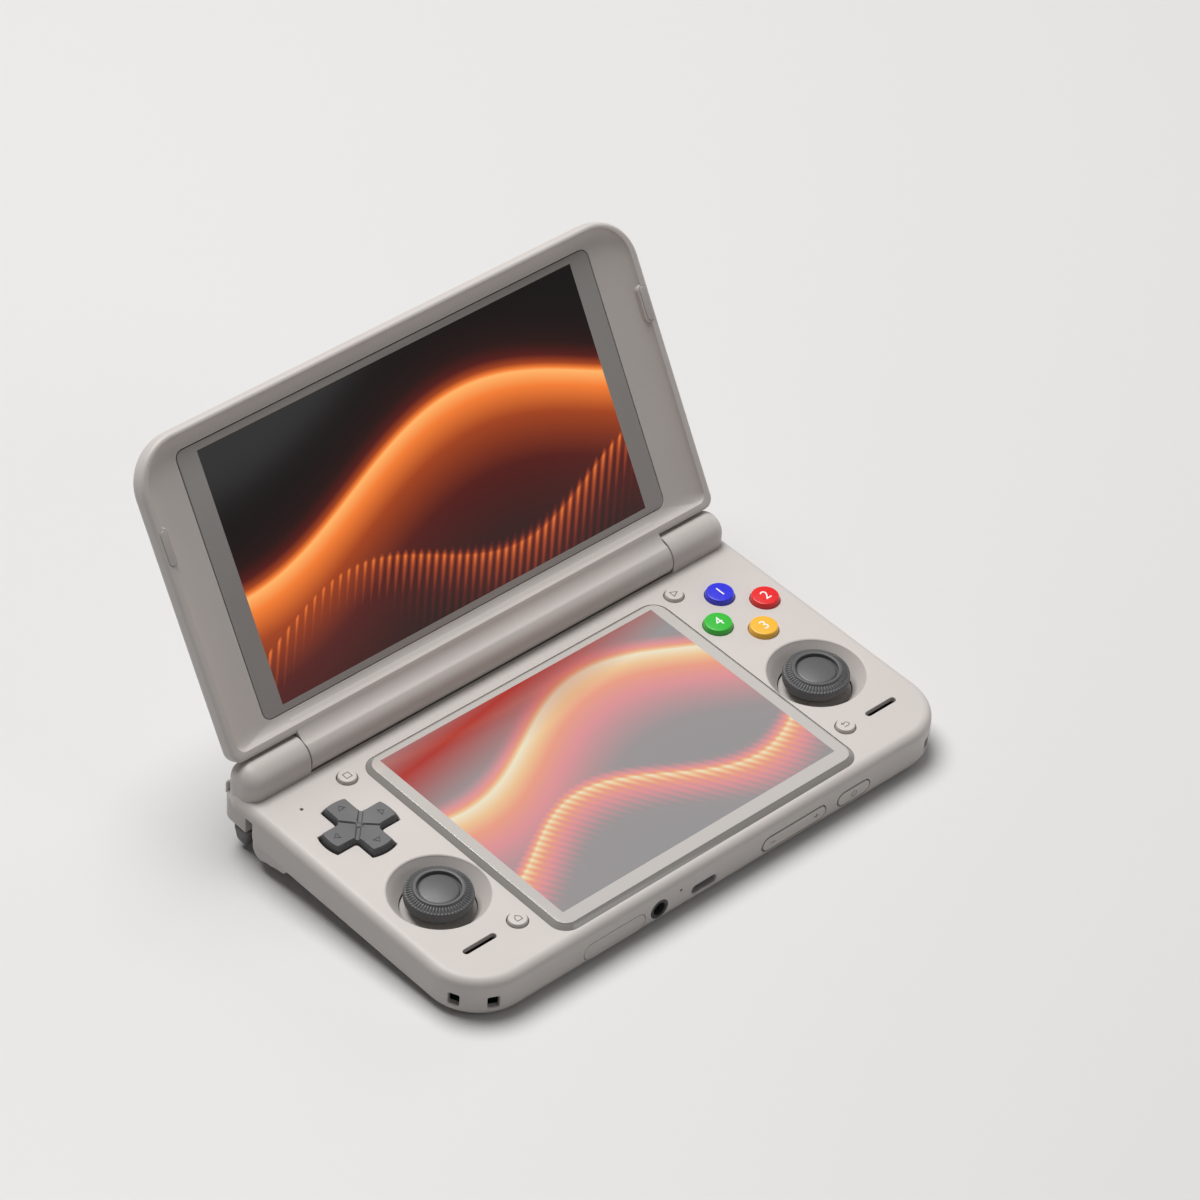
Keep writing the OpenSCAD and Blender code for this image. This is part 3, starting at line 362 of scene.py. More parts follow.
hollow = solid("hollow", prism(outline(HALF_W - WALL, FRONT + WALL, SIDE_END - WALL, CORNER - WALL,
                                       REAR_CORNER - WALL), SPLIT - 1, ROOF))
for side in SIDES:
    cut(hollow, lathe([(0, DECK - WELL_DEPTH - 0.2), (WELL_FLOOR + 1.3, DECK - WELL_DEPTH - 0.2),
                       (WELL + 1.1, DECK - 0.2), (WELL + 1.1, 5), (0, 5)], side * STICK_X, STICK_Y))
combine(shell, hollow, "DIFFERENCE")
cut(shell, prism(outline(REAR_X - WALL, SIDE_END - 3, REAR_Y - WALL, 0.3, 0.3), SPLIT - 1, LEDGE - 1.1))
channel = ring(BARREL + BARREL_GAP, 96) + [HINGE_Y, HINGE_Z]
cut(shell, tube([section_at(x, channel) for x in (-KNUCKLE_IN, KNUCKLE_IN)]))

well = [(0, DECK - WELL_DEPTH - 3), (WELL_FLOOR, DECK - WELL_DEPTH - 3), (WELL_FLOOR, DECK - WELL_DEPTH)]
well += [(WELL - 0.5 * WELL_LIP + 1.3 * WELL_LIP * t ** 2.2, DECK + 0.002 - WELL_LIP * (1 - t))
         for t in np.linspace(0, 1, 6)]
well += [(well[-1][0], DECK + 3), (0, DECK + 3)]
cuts = [lathe(well, side * STICK_X, STICK_Y, 128) for side in SIDES]
cuts.append(deck_hole(lambda g: cross(PAD_HOLE + g, PAD_HOLE_HALF + g), 0.3, -PAD_X, PAD_Y))
for t in QUARTERS:
    x, y = PAD_X + PITCH * cos(t), PAD_Y + PITCH * sin(t)
    cuts.append(deck_hole(lambda g: ring(ROUND_HOLE + g), 0.22, x, y))
for side in SIDES:
    for y in (SMALL_REAR, SMALL_FRONT):
        cuts.append(deck_hole(lambda g: ring(SMALL_HOLE + g, 40), 0.2, side * SMALL_X, y))
    cuts.append(deck_hole(lambda g: stadium(SPEAKER_W, SPEAKER_H, g), 0.18, side * SPEAKER_X, SPEAKER_Y))
cuts.append(deck_hole(lambda g: ring(MIC_HOLE + g, 20), 0.1, MIC_X, MIC_Y))
for x, z, w, h, lip in ((CARD_X, PORT_Z, 20.3, 5.4, 0.1), (USB_X, USB_Z, 9.2, 3.1, 0.15),
                        (ROCKER_X, KEY_Z, 22.3, 4.8, 0.14), (POWER_X, KEY_Z, 11.6, 4.8, 0.14)):
    cuts.append(front_hole(lambda g: stadium(w, h, g), lip, x, z))
cuts.append(front_hole(lambda g: ring(JACK_HOLE + g), 0.15, JACK_X, JACK_Z))
cuts.append(front_hole(lambda g: ring(LIGHT_HOLE + g, 16), 0.08, LIGHT_X, LIGHT_Z))
cut(shell, *cuts)

p, f = stack(lambda g: outline(1.5 - g, g - 1.7, 1.7 - g, 0.5, 0.5, 5),
             (10.5, 0), (CORNER - 0.3, 0), (CORNER, -0.25), (CORNER + 2, -0.25))
for side, angle in ((1, -26), (1, -64), (-1, 206), (-1, 244)):
    out = np.column_stack([turned(p[:, [2, 0]], radians(angle)), p[:, 1]])
    cut(shell, (out + [side * (HALF_W - CORNER), FRONT + CORNER, LANYARD_Z], f))

SLOPE_FOOT = BEVEL + 0.06
cut(shell, prism(outline(GLASS_X + SLOPE_FOOT, GLASS_Y0 - SLOPE_FOOT, GLASS_Y1 + SLOPE_FOOT,
                         SEAT_CORNER, SEAT_CORNER), DECK - 0.7, DECK + 1))
cut(shell, prism(outline(WINDOW_X, WINDOW_Y0, WINDOW_Y1, 0.5, 0.5), ROOF - 2, DECK))


def maths_method(operation, swapped=False):
    """A method that puts this socket and another value into one Math node."""
    def method(self, other):
        return self.maths(operation, *((other, self) if swapped else (self, other)))
    return method


class Shade:
    """One output of a material's nodes. Sums, products and comparisons on it add Math
    nodes; node() adds any other node, with its settings first and then its inputs."""

    def __init__(self, tree, socket=None):
        self.tree, self.socket = tree, socket

    def node(self, kind, settings=None, inputs=None, out=0):
        made = self.tree.nodes.new(kind)
        for key, value in (settings or {}).items():
            if key == "stops":
                stops = made.color_ramp.elements
                while len(stops) < len(value):
                    stops.new(0.5)
                for stop, (at, tint) in zip(stops, value):
                    stop.position, stop.color = at, (*tint, 1)
            else:
                setattr(made, key, value)
        for key, value in (inputs or {}).items():
            if isinstance(value, Shade):
                self.tree.links.new(value.socket, made.inputs[key])
            else:
                made.inputs[key].default_value = value
        return Shade(self.tree, made.outputs[out])

    def maths(self, operation, *values):
        return self.node("ShaderNodeMath", {"operation": operation}, dict(enumerate(values)))

    __add__ = __radd__ = maths_method("ADD")
    __mul__ = __rmul__ = maths_method("MULTIPLY")
    __sub__, __rsub__ = maths_method("SUBTRACT"), maths_method("SUBTRACT", swapped=True)
    __gt__, __lt__ = maths_method("GREATER_THAN"), maths_method("LESS_THAN")

    def mix(self, first, second):
        """The colour between first and second at this factor."""
        return self.node("ShaderNodeMix", {"data_type": "RGBA"}, {0: self, 6: first, 7: second}, 2)


def finish(name, roughness, **fixed):
    """A new material with a Principled shader: its name, even roughness and fixed inputs."""
    made = bpy.data.materials.new(name)
    made.use_nodes = True
    shader = made.node_tree.nodes["Principled BSDF"]
    shader.inputs["Roughness"].default_value = roughness
    for key, value in fixed.items():
        shader.inputs[key.replace("_", " ")].default_value = value
    return made, shader, Shade(made.node_tree)


def feed(shader, **sockets):
    """Links each value to the shader's input of that name."""
    for key, value in sockets.items():
        value.tree.links.new(value.socket, shader.inputs[key.replace("_", " ")])


def grained(name, tint, roughness, grain=0.12, depth=0.03, uneven=0.04):
    """Moulded plastic: a fine spark-eroded grain in the bump, faint clouding of colour
    and a little unevenness of gloss. Sizes are in millimetres."""
    made, shader, s = finish(name, roughness)
    at = s.node("ShaderNodeTexCoord", out=3)
    fine = s.node("ShaderNodeTexNoise", {"noise_dimensions": "3D"},
                  {"Vector": at, "Scale": 1000 / grain / 4, "Detail": 2.0, "Roughness": 0.6})
    cloud = s.node("ShaderNodeTexNoise", {}, {"Vector": at, "Scale": 45.0, "Detail": 3.0})
    dark, light = ((*(min(1, c * (1 + swing)) for c in tint), 1) for swing in (-uneven, uneven))
    bump = s.node("ShaderNodeBump", {}, {"Strength": 0.35, "Distance": depth / 1000, "Height": fine})
    feed(shader, Base_Color=((fine - 0.5) * 0.35 + cloud).mix(dark, light), Normal=bump,
         Roughness=(fine - 0.5) * 0.18 + roughness)
    return made


def mottled(name, dark, light, scale, roughness, metallic=0.0, swing=0.2, detail=4.0):
    """Stamped, etched or turned stock: colour wanders between two, gloss by the swing."""
    made, shader, s = finish(name, roughness, Metallic=metallic)
    noise = s.node("ShaderNodeTexNoise", {}, {"Vector": s.node("ShaderNodeTexCoord", out=3),
                                              "Scale": scale, "Detail": detail})
    feed(shader, Base_Color=noise.mix((*dark, 1), (*light, 1)),
         Roughness=noise * swing + (roughness - swing / 2))
    return made


shell_plastic = grained("shell_plastic", (0.535, 0.497, 0.472), 0.5)
dress(shell, shell_plastic, flats=True)
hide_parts("base_top_cover")
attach(shell, "base")

# ---- Base, lower half ----
# The bottom cover is a tray whose rear swells into a hump that holds the cooling fan and
# props the deck up. Six screws and four rubber feet sit in it.
HUMP_START, HUMP_FLAT, HUMP_END, SIDE_DROP, HUMP_EASE, HUMP_ROUND = 28.6, 34.0, 42.9, 3.1, 17.0, 4.0
FOOT_STAND, FOOT_T, FOOT_R, FOOT_FRONT, FOOT_REAR = 0.62, 1.25, 4.5, -33.0, 38.0
FOOT_FRONT_X, FOOT_REAR_X, SCREW_SEAT = 66.0, 58.0, -12.4
INTAKE_LEN, INTAKE_Y, INTAKE_PITCH, BAY_X, BAY_Y0, BAY_Y1 = 17.0, 18.5, 2.75, 62.0, 35.5, 41.5
LEAN = np.arctan2(DECK_BACK[2], DECK_BACK[1])
SCREWS = [(side * x, y) for side in SIDES for x, y in ((54.0, -36.8), (76.0, 4.5), (74.0, 37.5))]
FEET = [(side * x, y) for side in SIDES for x, y in ((FOOT_FRONT_X, FOOT_FRONT), (FOOT_REAR_X, FOOT_REAR))]


def table_z(y):
    """Height of the table under a place on the deck frame's Y."""
    return FLOOR - FOOT_STAND - np.tan(LEAN) * (y - FOOT_FRONT)


def hump(half):
    """Loops along X of the hump's lengthwise section: down the front slope, along the
    table's slope and up the rear face. Towards both ends it eases (three squares less two
    cubes) to a lower, rounder section that runs on from the side walls."""
    far = half - HUMP_ROUND * (1 - np.sin(quarter(14)))
    rows = []
    for x in (*-far[::-1], *np.linspace(HUMP_ROUND - half, half - HUMP_ROUND, 31)[1:-1], *far):
        share = np.clip((abs(x) - (half - HUMP_EASE)) / HUMP_EASE, 0, 1)
        ease = share ** 2 * (3 - 2 * share)
        full = np.array([table_z(HUMP_FLAT), table_z(HUMP_END)]) + FOOT_STAND
        low = full * (1 - ease) + ease * np.array([FLOOR - SIDE_DROP * 0.72, FLOOR - SIDE_DROP])
        low += rounded(abs(x) - half + 1.5, 1.5)
        edge = 0.8 + 2.0 * ease
        rear = HUMP_END - rounded(abs(x) - half + 3.7, 3.7)
        toe = [(rear - edge + edge * sin(u), low[1] + edge - edge * cos(u)) for u in quarter(9)]
        rows.append(section_at(x, [
            (HUMP_START - 1.5, SPLIT - 0.01), (HUMP_START, FLOOR + 0.05), (HUMP_FLAT - 1.2, low[0] + 0.55),
            (HUMP_FLAT, low[0] + 0.12), (HUMP_FLAT + 1.2, low[0]), *toe, (rear, SPLIT - 0.01)]))
    return tube(rows)


tray = solid("bottom_shell", tube(base_rows(FLOOR, SPLIT)))
join(tray, hump(HALF_W - 0.31))
tail_low = table_z(45) + FOOT_STAND
join(tray, tube([level(outline(REAR_X - g, 39.0, y1, 0.5, 1.2), z) for z, g, y1 in
                 ((tail_low + 0.1, 1.0, 49.6), (tail_low + 1.0, 0.1, 50.6), (FLOOR, 0, REAR_Y),
                  (SPLIT - 0.15, 0, REAR_Y), (SPLIT, 0.15, REAR_Y - 0.15))]))
cut(tray, prism(outline(BAY_X, BAY_Y0, BAY_Y1, 0.5, 0.5), table_z(43) + 3, SPLIT + 1))
well = [(0, -30), (2.6, -30), (2.6, SCREW_SEAT), (0, SCREW_SEAT)]
cut(tray, *[lathe(well, x, y, 32) for x, y in SCREWS])
p, f = stack(lambda g: stadium(INTAKE_LEN, 1.4, g), (FLOOR - 2, 0.2), (FLOOR, 0.2), (FLOOR + 0.2, 0),
             (SPLIT + 1, 0))
cut(tray, *[(np.column_stack([x + p[:, 1], INTAKE_Y + p[:, 0], p[:, 2]]), f)
            for x in np.arange(-11, 11.1, INTAKE_PITCH)])


def on_table(part, x, y):
    """A part drawn level over the table, set under a place of the deck frame."""
    p = part[0]
    back = p[:, 1] * cos(LEAN) + p[:, 2] * sin(LEAN)
    up = p[:, 2] * cos(LEAN) - p[:, 1] * sin(LEAN)
    return np.column_stack([x + p[:, 0], y + back, table_z(y) + up]), part[1]


seat = [(0, 0.2), (FOOT_R + 0.12, 0.2), (FOOT_R + 0.12, FOOT_T), (0, FOOT_T)]
cut(tray, *[on_table(lathe(seat, steps=48), x, y) for x, y in FEET])
dress(tray, grained("under_plastic", (0.515, 0.478, 0.453), 0.54, 0.16, 0.04), flats=True)
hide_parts("base_bottom_cover")
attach(tray, "base")

foot = lathe([(0, 0), (FOOT_R - 0.5, 0), (FOOT_R - 0.18, 0.08), (FOOT_R, 0.35), (FOOT_R, FOOT_T - 0.02),
              (0, FOOT_T - 0.02)])
feet = solid("feet", *[on_table(foot, x, y) for x, y in FEET])
dress(feet, grained("rubber", (0.028, 0.028, 0.03), 0.78, 0.25, 0.06, 0.12))
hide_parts("rubber_feet")
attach(feet, "base")

pan_head = [(0, -0.9), (1.2, -0.9), (1.75, -0.78), (2.0, -0.5), (2.0, 0), (0.95, 0), (0.95, 5.9), (0, 5.9)]
screws = solid("screws", *[lathe([(r, SCREW_SEAT + z) for r, z in pan_head], x, y, 32) for x, y in SCREWS])
star = cross(1.1, 0.22, 3, 0.12)
recess = tube([level(star * k, z) for z, k in ((-13.6, 1.1), (-13.3, 1.0), (-12.8, 0.6))])
cut(screws, *[shifted(recess, x, y) for x, y in SCREWS])
dress(screws, mottled("screw_steel", (0.1, 0.1, 0.11), (0.24, 0.24, 0.25), 900, 0.375, 1.0, 0.25, 3.0))
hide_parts("base_screws")
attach(screws, "base")

# ---- Lower display ----
# A sheet of strengthened glass stands 1.2 mm proud of the deck with a ground slope all
# round. Its border is printed from behind in the shell's grey, and the slope is coloured darker as painted
# shade; the picture shows inside, with a painted reflection of the upper display across its top left.
LOWER_HALF, LOWER_TALL = 45.72, 34.29


def plate(half, y0, y1, r, top, edge, steps=6):
    """Loops of a plate's top: a quarter round of size edge into a flat face."""
    rows = []
    for z, g in rim(top, edge, steps):
        corner = max(r - g, 0.2)
        rows.append(level(outline(half - g, y0 + g, y1 - g, corner, corner, 12), z))
    return rows


def lay_picture(made, place_y, origin, half_x, half_y):
    """A UV map that lies flat on the glass: the picture runs from 0 to 1 on both axes."""
    co = np.empty(len(made.data.vertices) * 3)
    made.data.vertices.foreach_get("co", co)
    rel = (co.reshape(-1, 3) - origin) * 1000
    u = rel @ ACROSS / (2 * half_x) + 0.5
    v = rel @ place_y / (2 * half_y) + 0.5
    loops = np.empty(len(made.data.loops), np.int32)
    made.data.loops.foreach_get("vertex_index", loops)
    layer = made.data.uv_layers.new(name="picture")
    layer.uv.foreach_set("vector", np.stack([u[loops], v[loops]], 1).astype(np.float32).ravel())


def picture_place(s, wide):
    """Where a point lies on the picture: across and up from its centre, up being -1 to 1
    and across going wide times as far as half, and a factor that is 1 on the picture."""
    xyz = s.node("ShaderNodeSeparateXYZ", {}, {0: s.node("ShaderNodeUVMap", {"uv_map": "picture"})})
    x, y = (Shade(s.tree, out) for out in xyz.socket.node.outputs[:2])
    return (x - 0.5) * wide, (y - 0.5) * 2.0, (x > 0.0) * (x < 1.0) * (y > 0.0) * (y < 1.0)


def dune(s, across, up, base, rise, rate, phase, soft, fade):
    """Bright along a sine crest, falling off fast above it and slowly below."""
    crest = s.maths("SINE", across * rate + phase) * rise + base
    over = s.maths("MAXIMUM", up - crest, 0.0)
    under = s.maths("MAXIMUM", crest - up, 0.0)
    return s.maths("EXPONENT", over * -soft) * s.maths("EXPONENT", under * -fade)


def wave_design(s, across, up, plain, ribbed, comb, stops):
    """Colours of the wave design: the brighter of a plain dune and a weaker one that
    slanting ribs dim by a share, looked up in a ramp of stops."""
    count, lean, share, strength = comb
    ribs = 1 - share * (0.5 + 0.5 * s.maths("SINE", (across + up * lean) * count))
    ribbed_dune = dune(s, across, up, *ribbed) * ribs * strength
    glow = s.maths("MAXIMUM", dune(s, across, up, *plain), ribbed_dune)
    return s.node("ShaderNodeValToRGB", {"stops": stops}, {0: glow})


rows = []
for z, g in ((DECK - 0.68, -BEVEL), (DECK - 0.08, -BEVEL), (DECK, 0.06 - BEVEL)):
    corner = SEAT_CORNER - BEVEL - g
    rows.append(level(outline(GLASS_X - g, GLASS_Y0 + g, GLASS_Y1 - g, corner, corner, 12), z))
rows += plate(GLASS_X, GLASS_Y0, GLASS_Y1, GLASS_R, 0.0, 0.22)
lower_glass = solid("lower_glass", tube(rows), sharp=24)
lay_picture(lower_glass, DECK_BACK, on_deck((0, 0, 0)), LOWER_HALF, LOWER_TALL)
lower_picture, shader, s = finish("lower_picture", 0.07, Specular_IOR_Level=0.5, Emission_Strength=0.82)
across, up, inside = picture_place(s, 2.667)
tint = wave_design(s, across, up, (0.50, 0.30, 1.9, 0.7, 9.0, 2.1), (-0.42, 0.26, 2.4, 2.6, 12.0, 4.2),
                   (90.0, 0.55, 0.22, 1.0), (
                       (0.0, (0.35, 0.347, 0.35)), (0.18, (0.38, 0.345, 0.35)), (0.42, (0.84, 0.34, 0.36)),
                       (0.62, (0.96, 0.40, 0.27)), (0.8, (1.0, 0.64, 0.34)), (1.0, (1.0, 0.92, 0.68))))
# Painted reflection: a dark red band across the top left of the picture stands for the upper display
# mirrored in the lower glass.
upper_display_reflection = s.maths("MAXIMUM", 1 - 2.2 * s.maths("ABSOLUTE", up - 1.0 - across * 0.18), 0.0)
tint = upper_display_reflection.mix(tint, (0.50, 0.035, 0.022, 1))
SLOPE_TOP = -0.00013  # metres below the glass face
# Painted shade: the ground slope is coloured darker than the printed border all round, to darken the slopes
# that face front and left; its gloss lets the lamps still light it on the right.
height = s.node("ShaderNodeVectorMath", {"operation": "DOT_PRODUCT"},
                {0: s.node("ShaderNodeTexCoord", out=3), 1: tuple(DECK_UP)}, 1)
shaded_slope = (height - float(DECK_UP @ DECK_AT)) < SLOPE_TOP
border_and_slope_shade = shaded_slope.mix((0.50, 0.475, 0.45, 1), (0.27, 0.255, 0.24, 1))
feed(shader, Base_Color=inside.mix(border_and_slope_shade, (0.012, 0.012, 0.013, 1)),
     Emission_Color=inside.mix((0, 0, 0, 1), tint))
dress(lower_glass, lower_picture)
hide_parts("lower_display_glass")
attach(lower_glass, "base")

# ---- Sticks ----
# Each stick is a rubber-coated cap with a knurled shoulder, pushed on a lever in a bail.
# A pale domed collar closes the bottom of its well.
CAP_R, RING_R, DISH_R, CAP_TOP, CAP_UNDER, BOOT_R, BOOT_END = 8.8, 6.5, 5.5, 1.65, 2.95, 5.0, -5.6
KNURLS, KNURL_DEPTH, COLLAR_IN = 60, 0.36, 6.0


def arc(c, z, r, from_deg, to_deg, steps=8):
    """(radius, height) points on an arc."""
    return [(c + r * cos(u), z + r * sin(u)) for u in np.radians(np.linspace(from_deg, to_deg, steps))]


def knurled(profile, x, y, steps=600):
    """A turned profile of (r, z, depth) whose radius ripples by depth, once per knurl."""
    a = np.linspace(0, 2 * pi, steps, endpoint=False)
    ripple = 1 - (0.5 - 0.5 * np.cos(a * KNURLS)) ** 0.6
    rows = []
    for r, z, depth in profile:
        radius = r - depth * ripple
        rows.append(np.column_stack([x + radius * np.cos(a), y + radius * np.sin(a),
                                     np.full(steps, z) - 0.35 * depth * ripple]))
    return tube(rows)


def cap_profile():
    """(r, z, knurl depth) from the middle of the dish over the ring, down the knurled
    shoulder and the smooth barrel, in under the cap, down the boot and up inside it."""
    smooth_top = [(DISH_R * t, CAP_TOP - 0.3 - 0.5 * t ** 2) for t in np.linspace(0, 0.9, 14)]
    smooth_top += [(DISH_R - 0.36, CAP_TOP - 0.88), (DISH_R - 0.24, CAP_TOP - 1.05),
                   (DISH_R - 0.05, CAP_TOP - 1.05)]
    smooth_top += arc(DISH_R + 0.32, CAP_TOP - 0.32, 0.3, 180, 90, 6)
    smooth_top += arc(RING_R - 0.25, CAP_TOP - 0.27, 0.27, 90, 25, 5)
    smooth_top += [(RING_R + 0.12, CAP_TOP - 0.42)]
    shoulder = [(RING_R + 0.2 + 1.85 * t, CAP_TOP - 0.5 - 0.75 * t ** 1.6,
                 KNURL_DEPTH * min(1, 6 * t, 6 * (1 - t) + 0.1)) for t in np.linspace(0, 1, 12)]
    below = [(CAP_R - 0.18, 0.12), (CAP_R - 0.08, -0.2), (CAP_R - 0.02, -0.6), (CAP_R, -1.1),
             (CAP_R - 0.05, -1.7)]
    below += [(6.6 + (CAP_R - 6.7) * cos(t), -2.0 - (CAP_UNDER - 2.0) * sin(t))
              for t in np.linspace(0.1, pi / 2, 10)]
    below += [(BOOT_R, -CAP_UNDER), (BOOT_R - 0.2, BOOT_END), (1.85, BOOT_END), (1.85, 0.3), (0, 0.3)]
    return [(r, z, 0) for r, z in smooth_top] + shoulder + [(r, z, 0) for r, z in below]


stick_rubber = grained("stick_rubber", (0.088, 0.088, 0.091), 0.42, 0.2, 0.015, 0.05)
collar_plastic = grained("collar_plastic", (0.36, 0.335, 0.315), 0.42, 0.2, 0.02)
well_z = DECK - WELL_DEPTH
dome = [(COLLAR_IN, well_z - 1.2), (COLLAR_IN, well_z + 0.02), (COLLAR_IN + 0.12, well_z + 0.1)]
dome += [(6.2 + (WELL_FLOOR - 6.4) * t, well_z + 0.1 - 0.8 * t ** 2) for t in np.linspace(0.03, 1, 12)]
dome += [(WELL_FLOOR - 0.2, well_z - 1.2)]
for name, side in (("left", -1), ("right", 1)):
    profile = [(r, z + DECK, depth) for r, z, depth in cap_profile()]
    top = solid("stick_top_" + name, knurled(profile, side * STICK_X, STICK_Y), sharp=50)
    dress(top, stick_rubber)
    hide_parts("stick_cap_" + name)
    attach(top, "stick_top_" + name)
    collar = solid("stick_collar_" + name, lathe(dome, side * STICK_X, STICK_Y, 96, closed=True))
    dress(collar, collar_plastic)
    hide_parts("stick_collar_" + name)
    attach(collar, "base")

# ---- Direction pad ----
# One dark cross that rocks on a ball. Its arms are crowned, grooves run out along both
# diagonals, and an arrowhead is sunk in each arm.
ARM, ARM_HALF, PAD_RISE, FLANGE_R = 10.15, 3.5, 1.7, 10.9


def pad_surface(steps=520, rings=46):
    """Height over the cross: a nearly flat top dished towards the middle, a steep slope
    over the last 0.6 mm to the outline joined by a soft minimum, and V grooves along the
    diagonals. The grid runs from the centre along each bearing to the outline, whose
    corners are rounded by a running mean."""
    edge = cross(ARM, ARM_HALF, 10, 0.9)
    edge = np.vstack([edge, edge[:1]])
    lengths = np.concatenate([[0], np.cumsum(np.linalg.norm(np.diff(edge, axis=0), axis=1))])
    at = np.linspace(0, lengths[-1], steps, endpoint=False)
    loop = np.stack([np.interp(at, lengths, edge[:, i]) for i in (0, 1)], 1)
    loop = np.mean([np.roll(loop, k, 0) for k in range(-5, 6)], 0)
    share = 1 - (1 - np.linspace(0, 1, rings)) ** 1.6
    grid = loop[None, :, :] * share[:, None, None]
    gap = np.min(np.linalg.norm(grid[:, :, None, :] - loop[None, None, ::4, :], axis=-1), axis=-1)
    px, py = grid[..., 0], grid[..., 1]
    radius = np.hypot(px, py)
    off = np.minimum(abs(px - py), abs(px + py)) / sqrt(2)
    z = PAD_RISE - 0.1 - 0.16 * np.exp(-(radius / 4.0) ** 2) + 0.1 * (radius / ARM) ** 2
    z -= 0.5 * np.clip((0.7 - off) / 0.3, 0, 1) * np.clip((radius - 0.5) / 0.6, 0, 1)
    slope = np.minimum(gap / 0.62, 1) * (PAD_RISE - 0.12)
    soft = 0.09
    z = -soft * np.log(np.exp(-z / soft) + np.exp(-(slope + 0.17) / soft))
    z = np.where(gap < 1e-4, 0.0, np.maximum(z, 0.0))
    return tube([*np.dstack([grid, z]), level(loop, -0.2), level(loop, ROOF - DECK - 1.2)])


def line_mark(points, width, z0, z1, closed=False):
    """A figure drawn with one line of even width between two heights. At each point the
    width is measured square to the mean of both directions and widened for the bend."""
    p = np.asarray(points, float)
    ahead = np.roll(p, -1, 0) - p if closed else np.gradient(p, axis=0)
    behind = p - np.roll(p, 1, 0) if closed else ahead
    ahead = ahead / np.linalg.norm(ahead, axis=1)[:, None]
    behind = behind / np.linalg.norm(behind, axis=1)[:, None]
    mean = (ahead + behind) / np.linalg.norm(ahead + behind, axis=1)[:, None]
    normal = np.stack([-mean[:, 1], mean[:, 0]], 1)
    bend = np.sum(normal * np.stack([-ahead[:, 1], ahead[:, 0]], 1), 1)
    reach = normal * (width / 2 / np.maximum(bend, 0.4))[:, None]
    left, right = p + reach, p - reach
    if not closed:
        return prism(np.vstack([left, right[::-1]]), z0, z1)
    return tube([level(left, z0), level(left, z1), level(right, z1), level(right, z0)], closed=True)


pad = solid("direction_pad", shifted(pad_surface(), -PAD_X, PAD_Y, DECK),
            lathe([(0, ROOF - 1.5), (FLANGE_R, ROOF - 1.5), (FLANGE_R, ROOF - 0.9), (0, ROOF - 0.9)],
                  -PAD_X, PAD_Y), sharp=40)
dress(pad, grained("pad_plastic", (0.098, 0.098, 0.102), 0.46, 0.16, 0.02, 0.05))
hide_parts("dpad")
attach(pad, "direction_pad")

arrow = np.array([[7.9, 0.0], [6.6, 0.95], [6.6, -0.95]])
pad_marks = solid("direction_marks", *[
    shifted(line_mark(turned(arrow, t), 0.2, PAD_RISE - 0.3, PAD_RISE - 0.022, True), -PAD_X, PAD_Y, DECK)
    for t in QUARTERS])
dress(pad_marks, grained("mark_dark", (0.034, 0.034, 0.036), 0.6, 0.2, 0.02))
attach(pad_marks, "direction_pad")

# ---- Round buttons ----
# Four two-shot caps in blue, red, yellow and green, slightly crowned, each with a white
# numeral moulded through.
ROUND_FOOT, ROUND_RISE, NUMERAL = 3.92, 1.5, 4.4


def button_cap(foot, head, rise, crown, edge, x, y, steps):
    """A turned cap on the deck: crowned top, rounded edge, drafted side, flange below."""
    under = ROOF - 0.1 - DECK
    top = [((head - edge) * t, rise - crown * t ** 2) for t in np.linspace(0, 1, 8)]
    side = arc(head - edge, rise - crown - edge, edge, 80, 8, 7) + [(foot, 0.0), (foot, under)]
    flange = [(foot + 0.6, under), (foot + 0.6, under - 0.9), (0, under - 0.9)]
    return lathe([(r, z + DECK) for r, z in top + side + flange], x, y, steps)


def numeral(text, x, y, z):
    """A plain figure as a flat mesh 0.06 mm thick, centred on x, y."""
    curve = bpy.data.curves.new("numeral", "FONT")
    curve.body, curve.size, curve.extrude = text, NUMERAL, 0.03
    curve.align_x, curve.align_y = "CENTER", "CENTER"
    holder = bpy.data.objects.new("numeral", curve)
    bpy.context.scene.collection.objects.link(holder)
    ready = holder.evaluated_get(bpy.context.evaluated_depsgraph_get())
    mesh = bpy.data.meshes.new_from_object(ready)
    bpy.data.objects.remove(holder)
    co = np.empty(len(mesh.vertices) * 3)
    mesh.vertices.foreach_get("co", co)
    co = co.reshape(-1, 3)
    co[:, :2] -= (co[:, :2].max(0) + co[:, :2].min(0)) / 2
    mesh.vertices.foreach_set("co", on_deck(co + [x, y, z]).ravel())
    return mesh


white_shot = grained("white_shot", (0.80, 0.80, 0.79), 0.4, 0.3, 0.01, 0.01)
for name, text, angle, slot, tint in (
        ("top", "1", 90, "blue", (0.028, 0.030, 0.66)),
        ("right", "2", 0, "red", (0.72, 0.017, 0.020)),
        ("bottom", "3", 270, "yellow", (0.82, 0.44, 0.036)),
        ("left", "4", 180, "green", (0.035, 0.46, 0.040))):
    x, y = PAD_X + PITCH * cos(radians(angle)), PAD_Y + PITCH * sin(radians(angle))
    key = solid("button_" + name + "_cap",
                button_cap(ROUND_FOOT, ROUND_FOOT - 0.22, ROUND_RISE, 0.12, 0.42, x, y, 96))
    dress(key, grained("cap_" + name, tint, 0.3, 0.3, 0.008, 0.03))
    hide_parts("button_" + name)
    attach(key, "key_" + name)
    figure = bpy.data.objects.new("numeral_" + name, numeral(text, x, y, DECK + ROUND_RISE - 0.018))
    bpy.context.scene.collection.objects.link(figure)
    dress(figure, white_shot)
    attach(figure, "key_" + name)

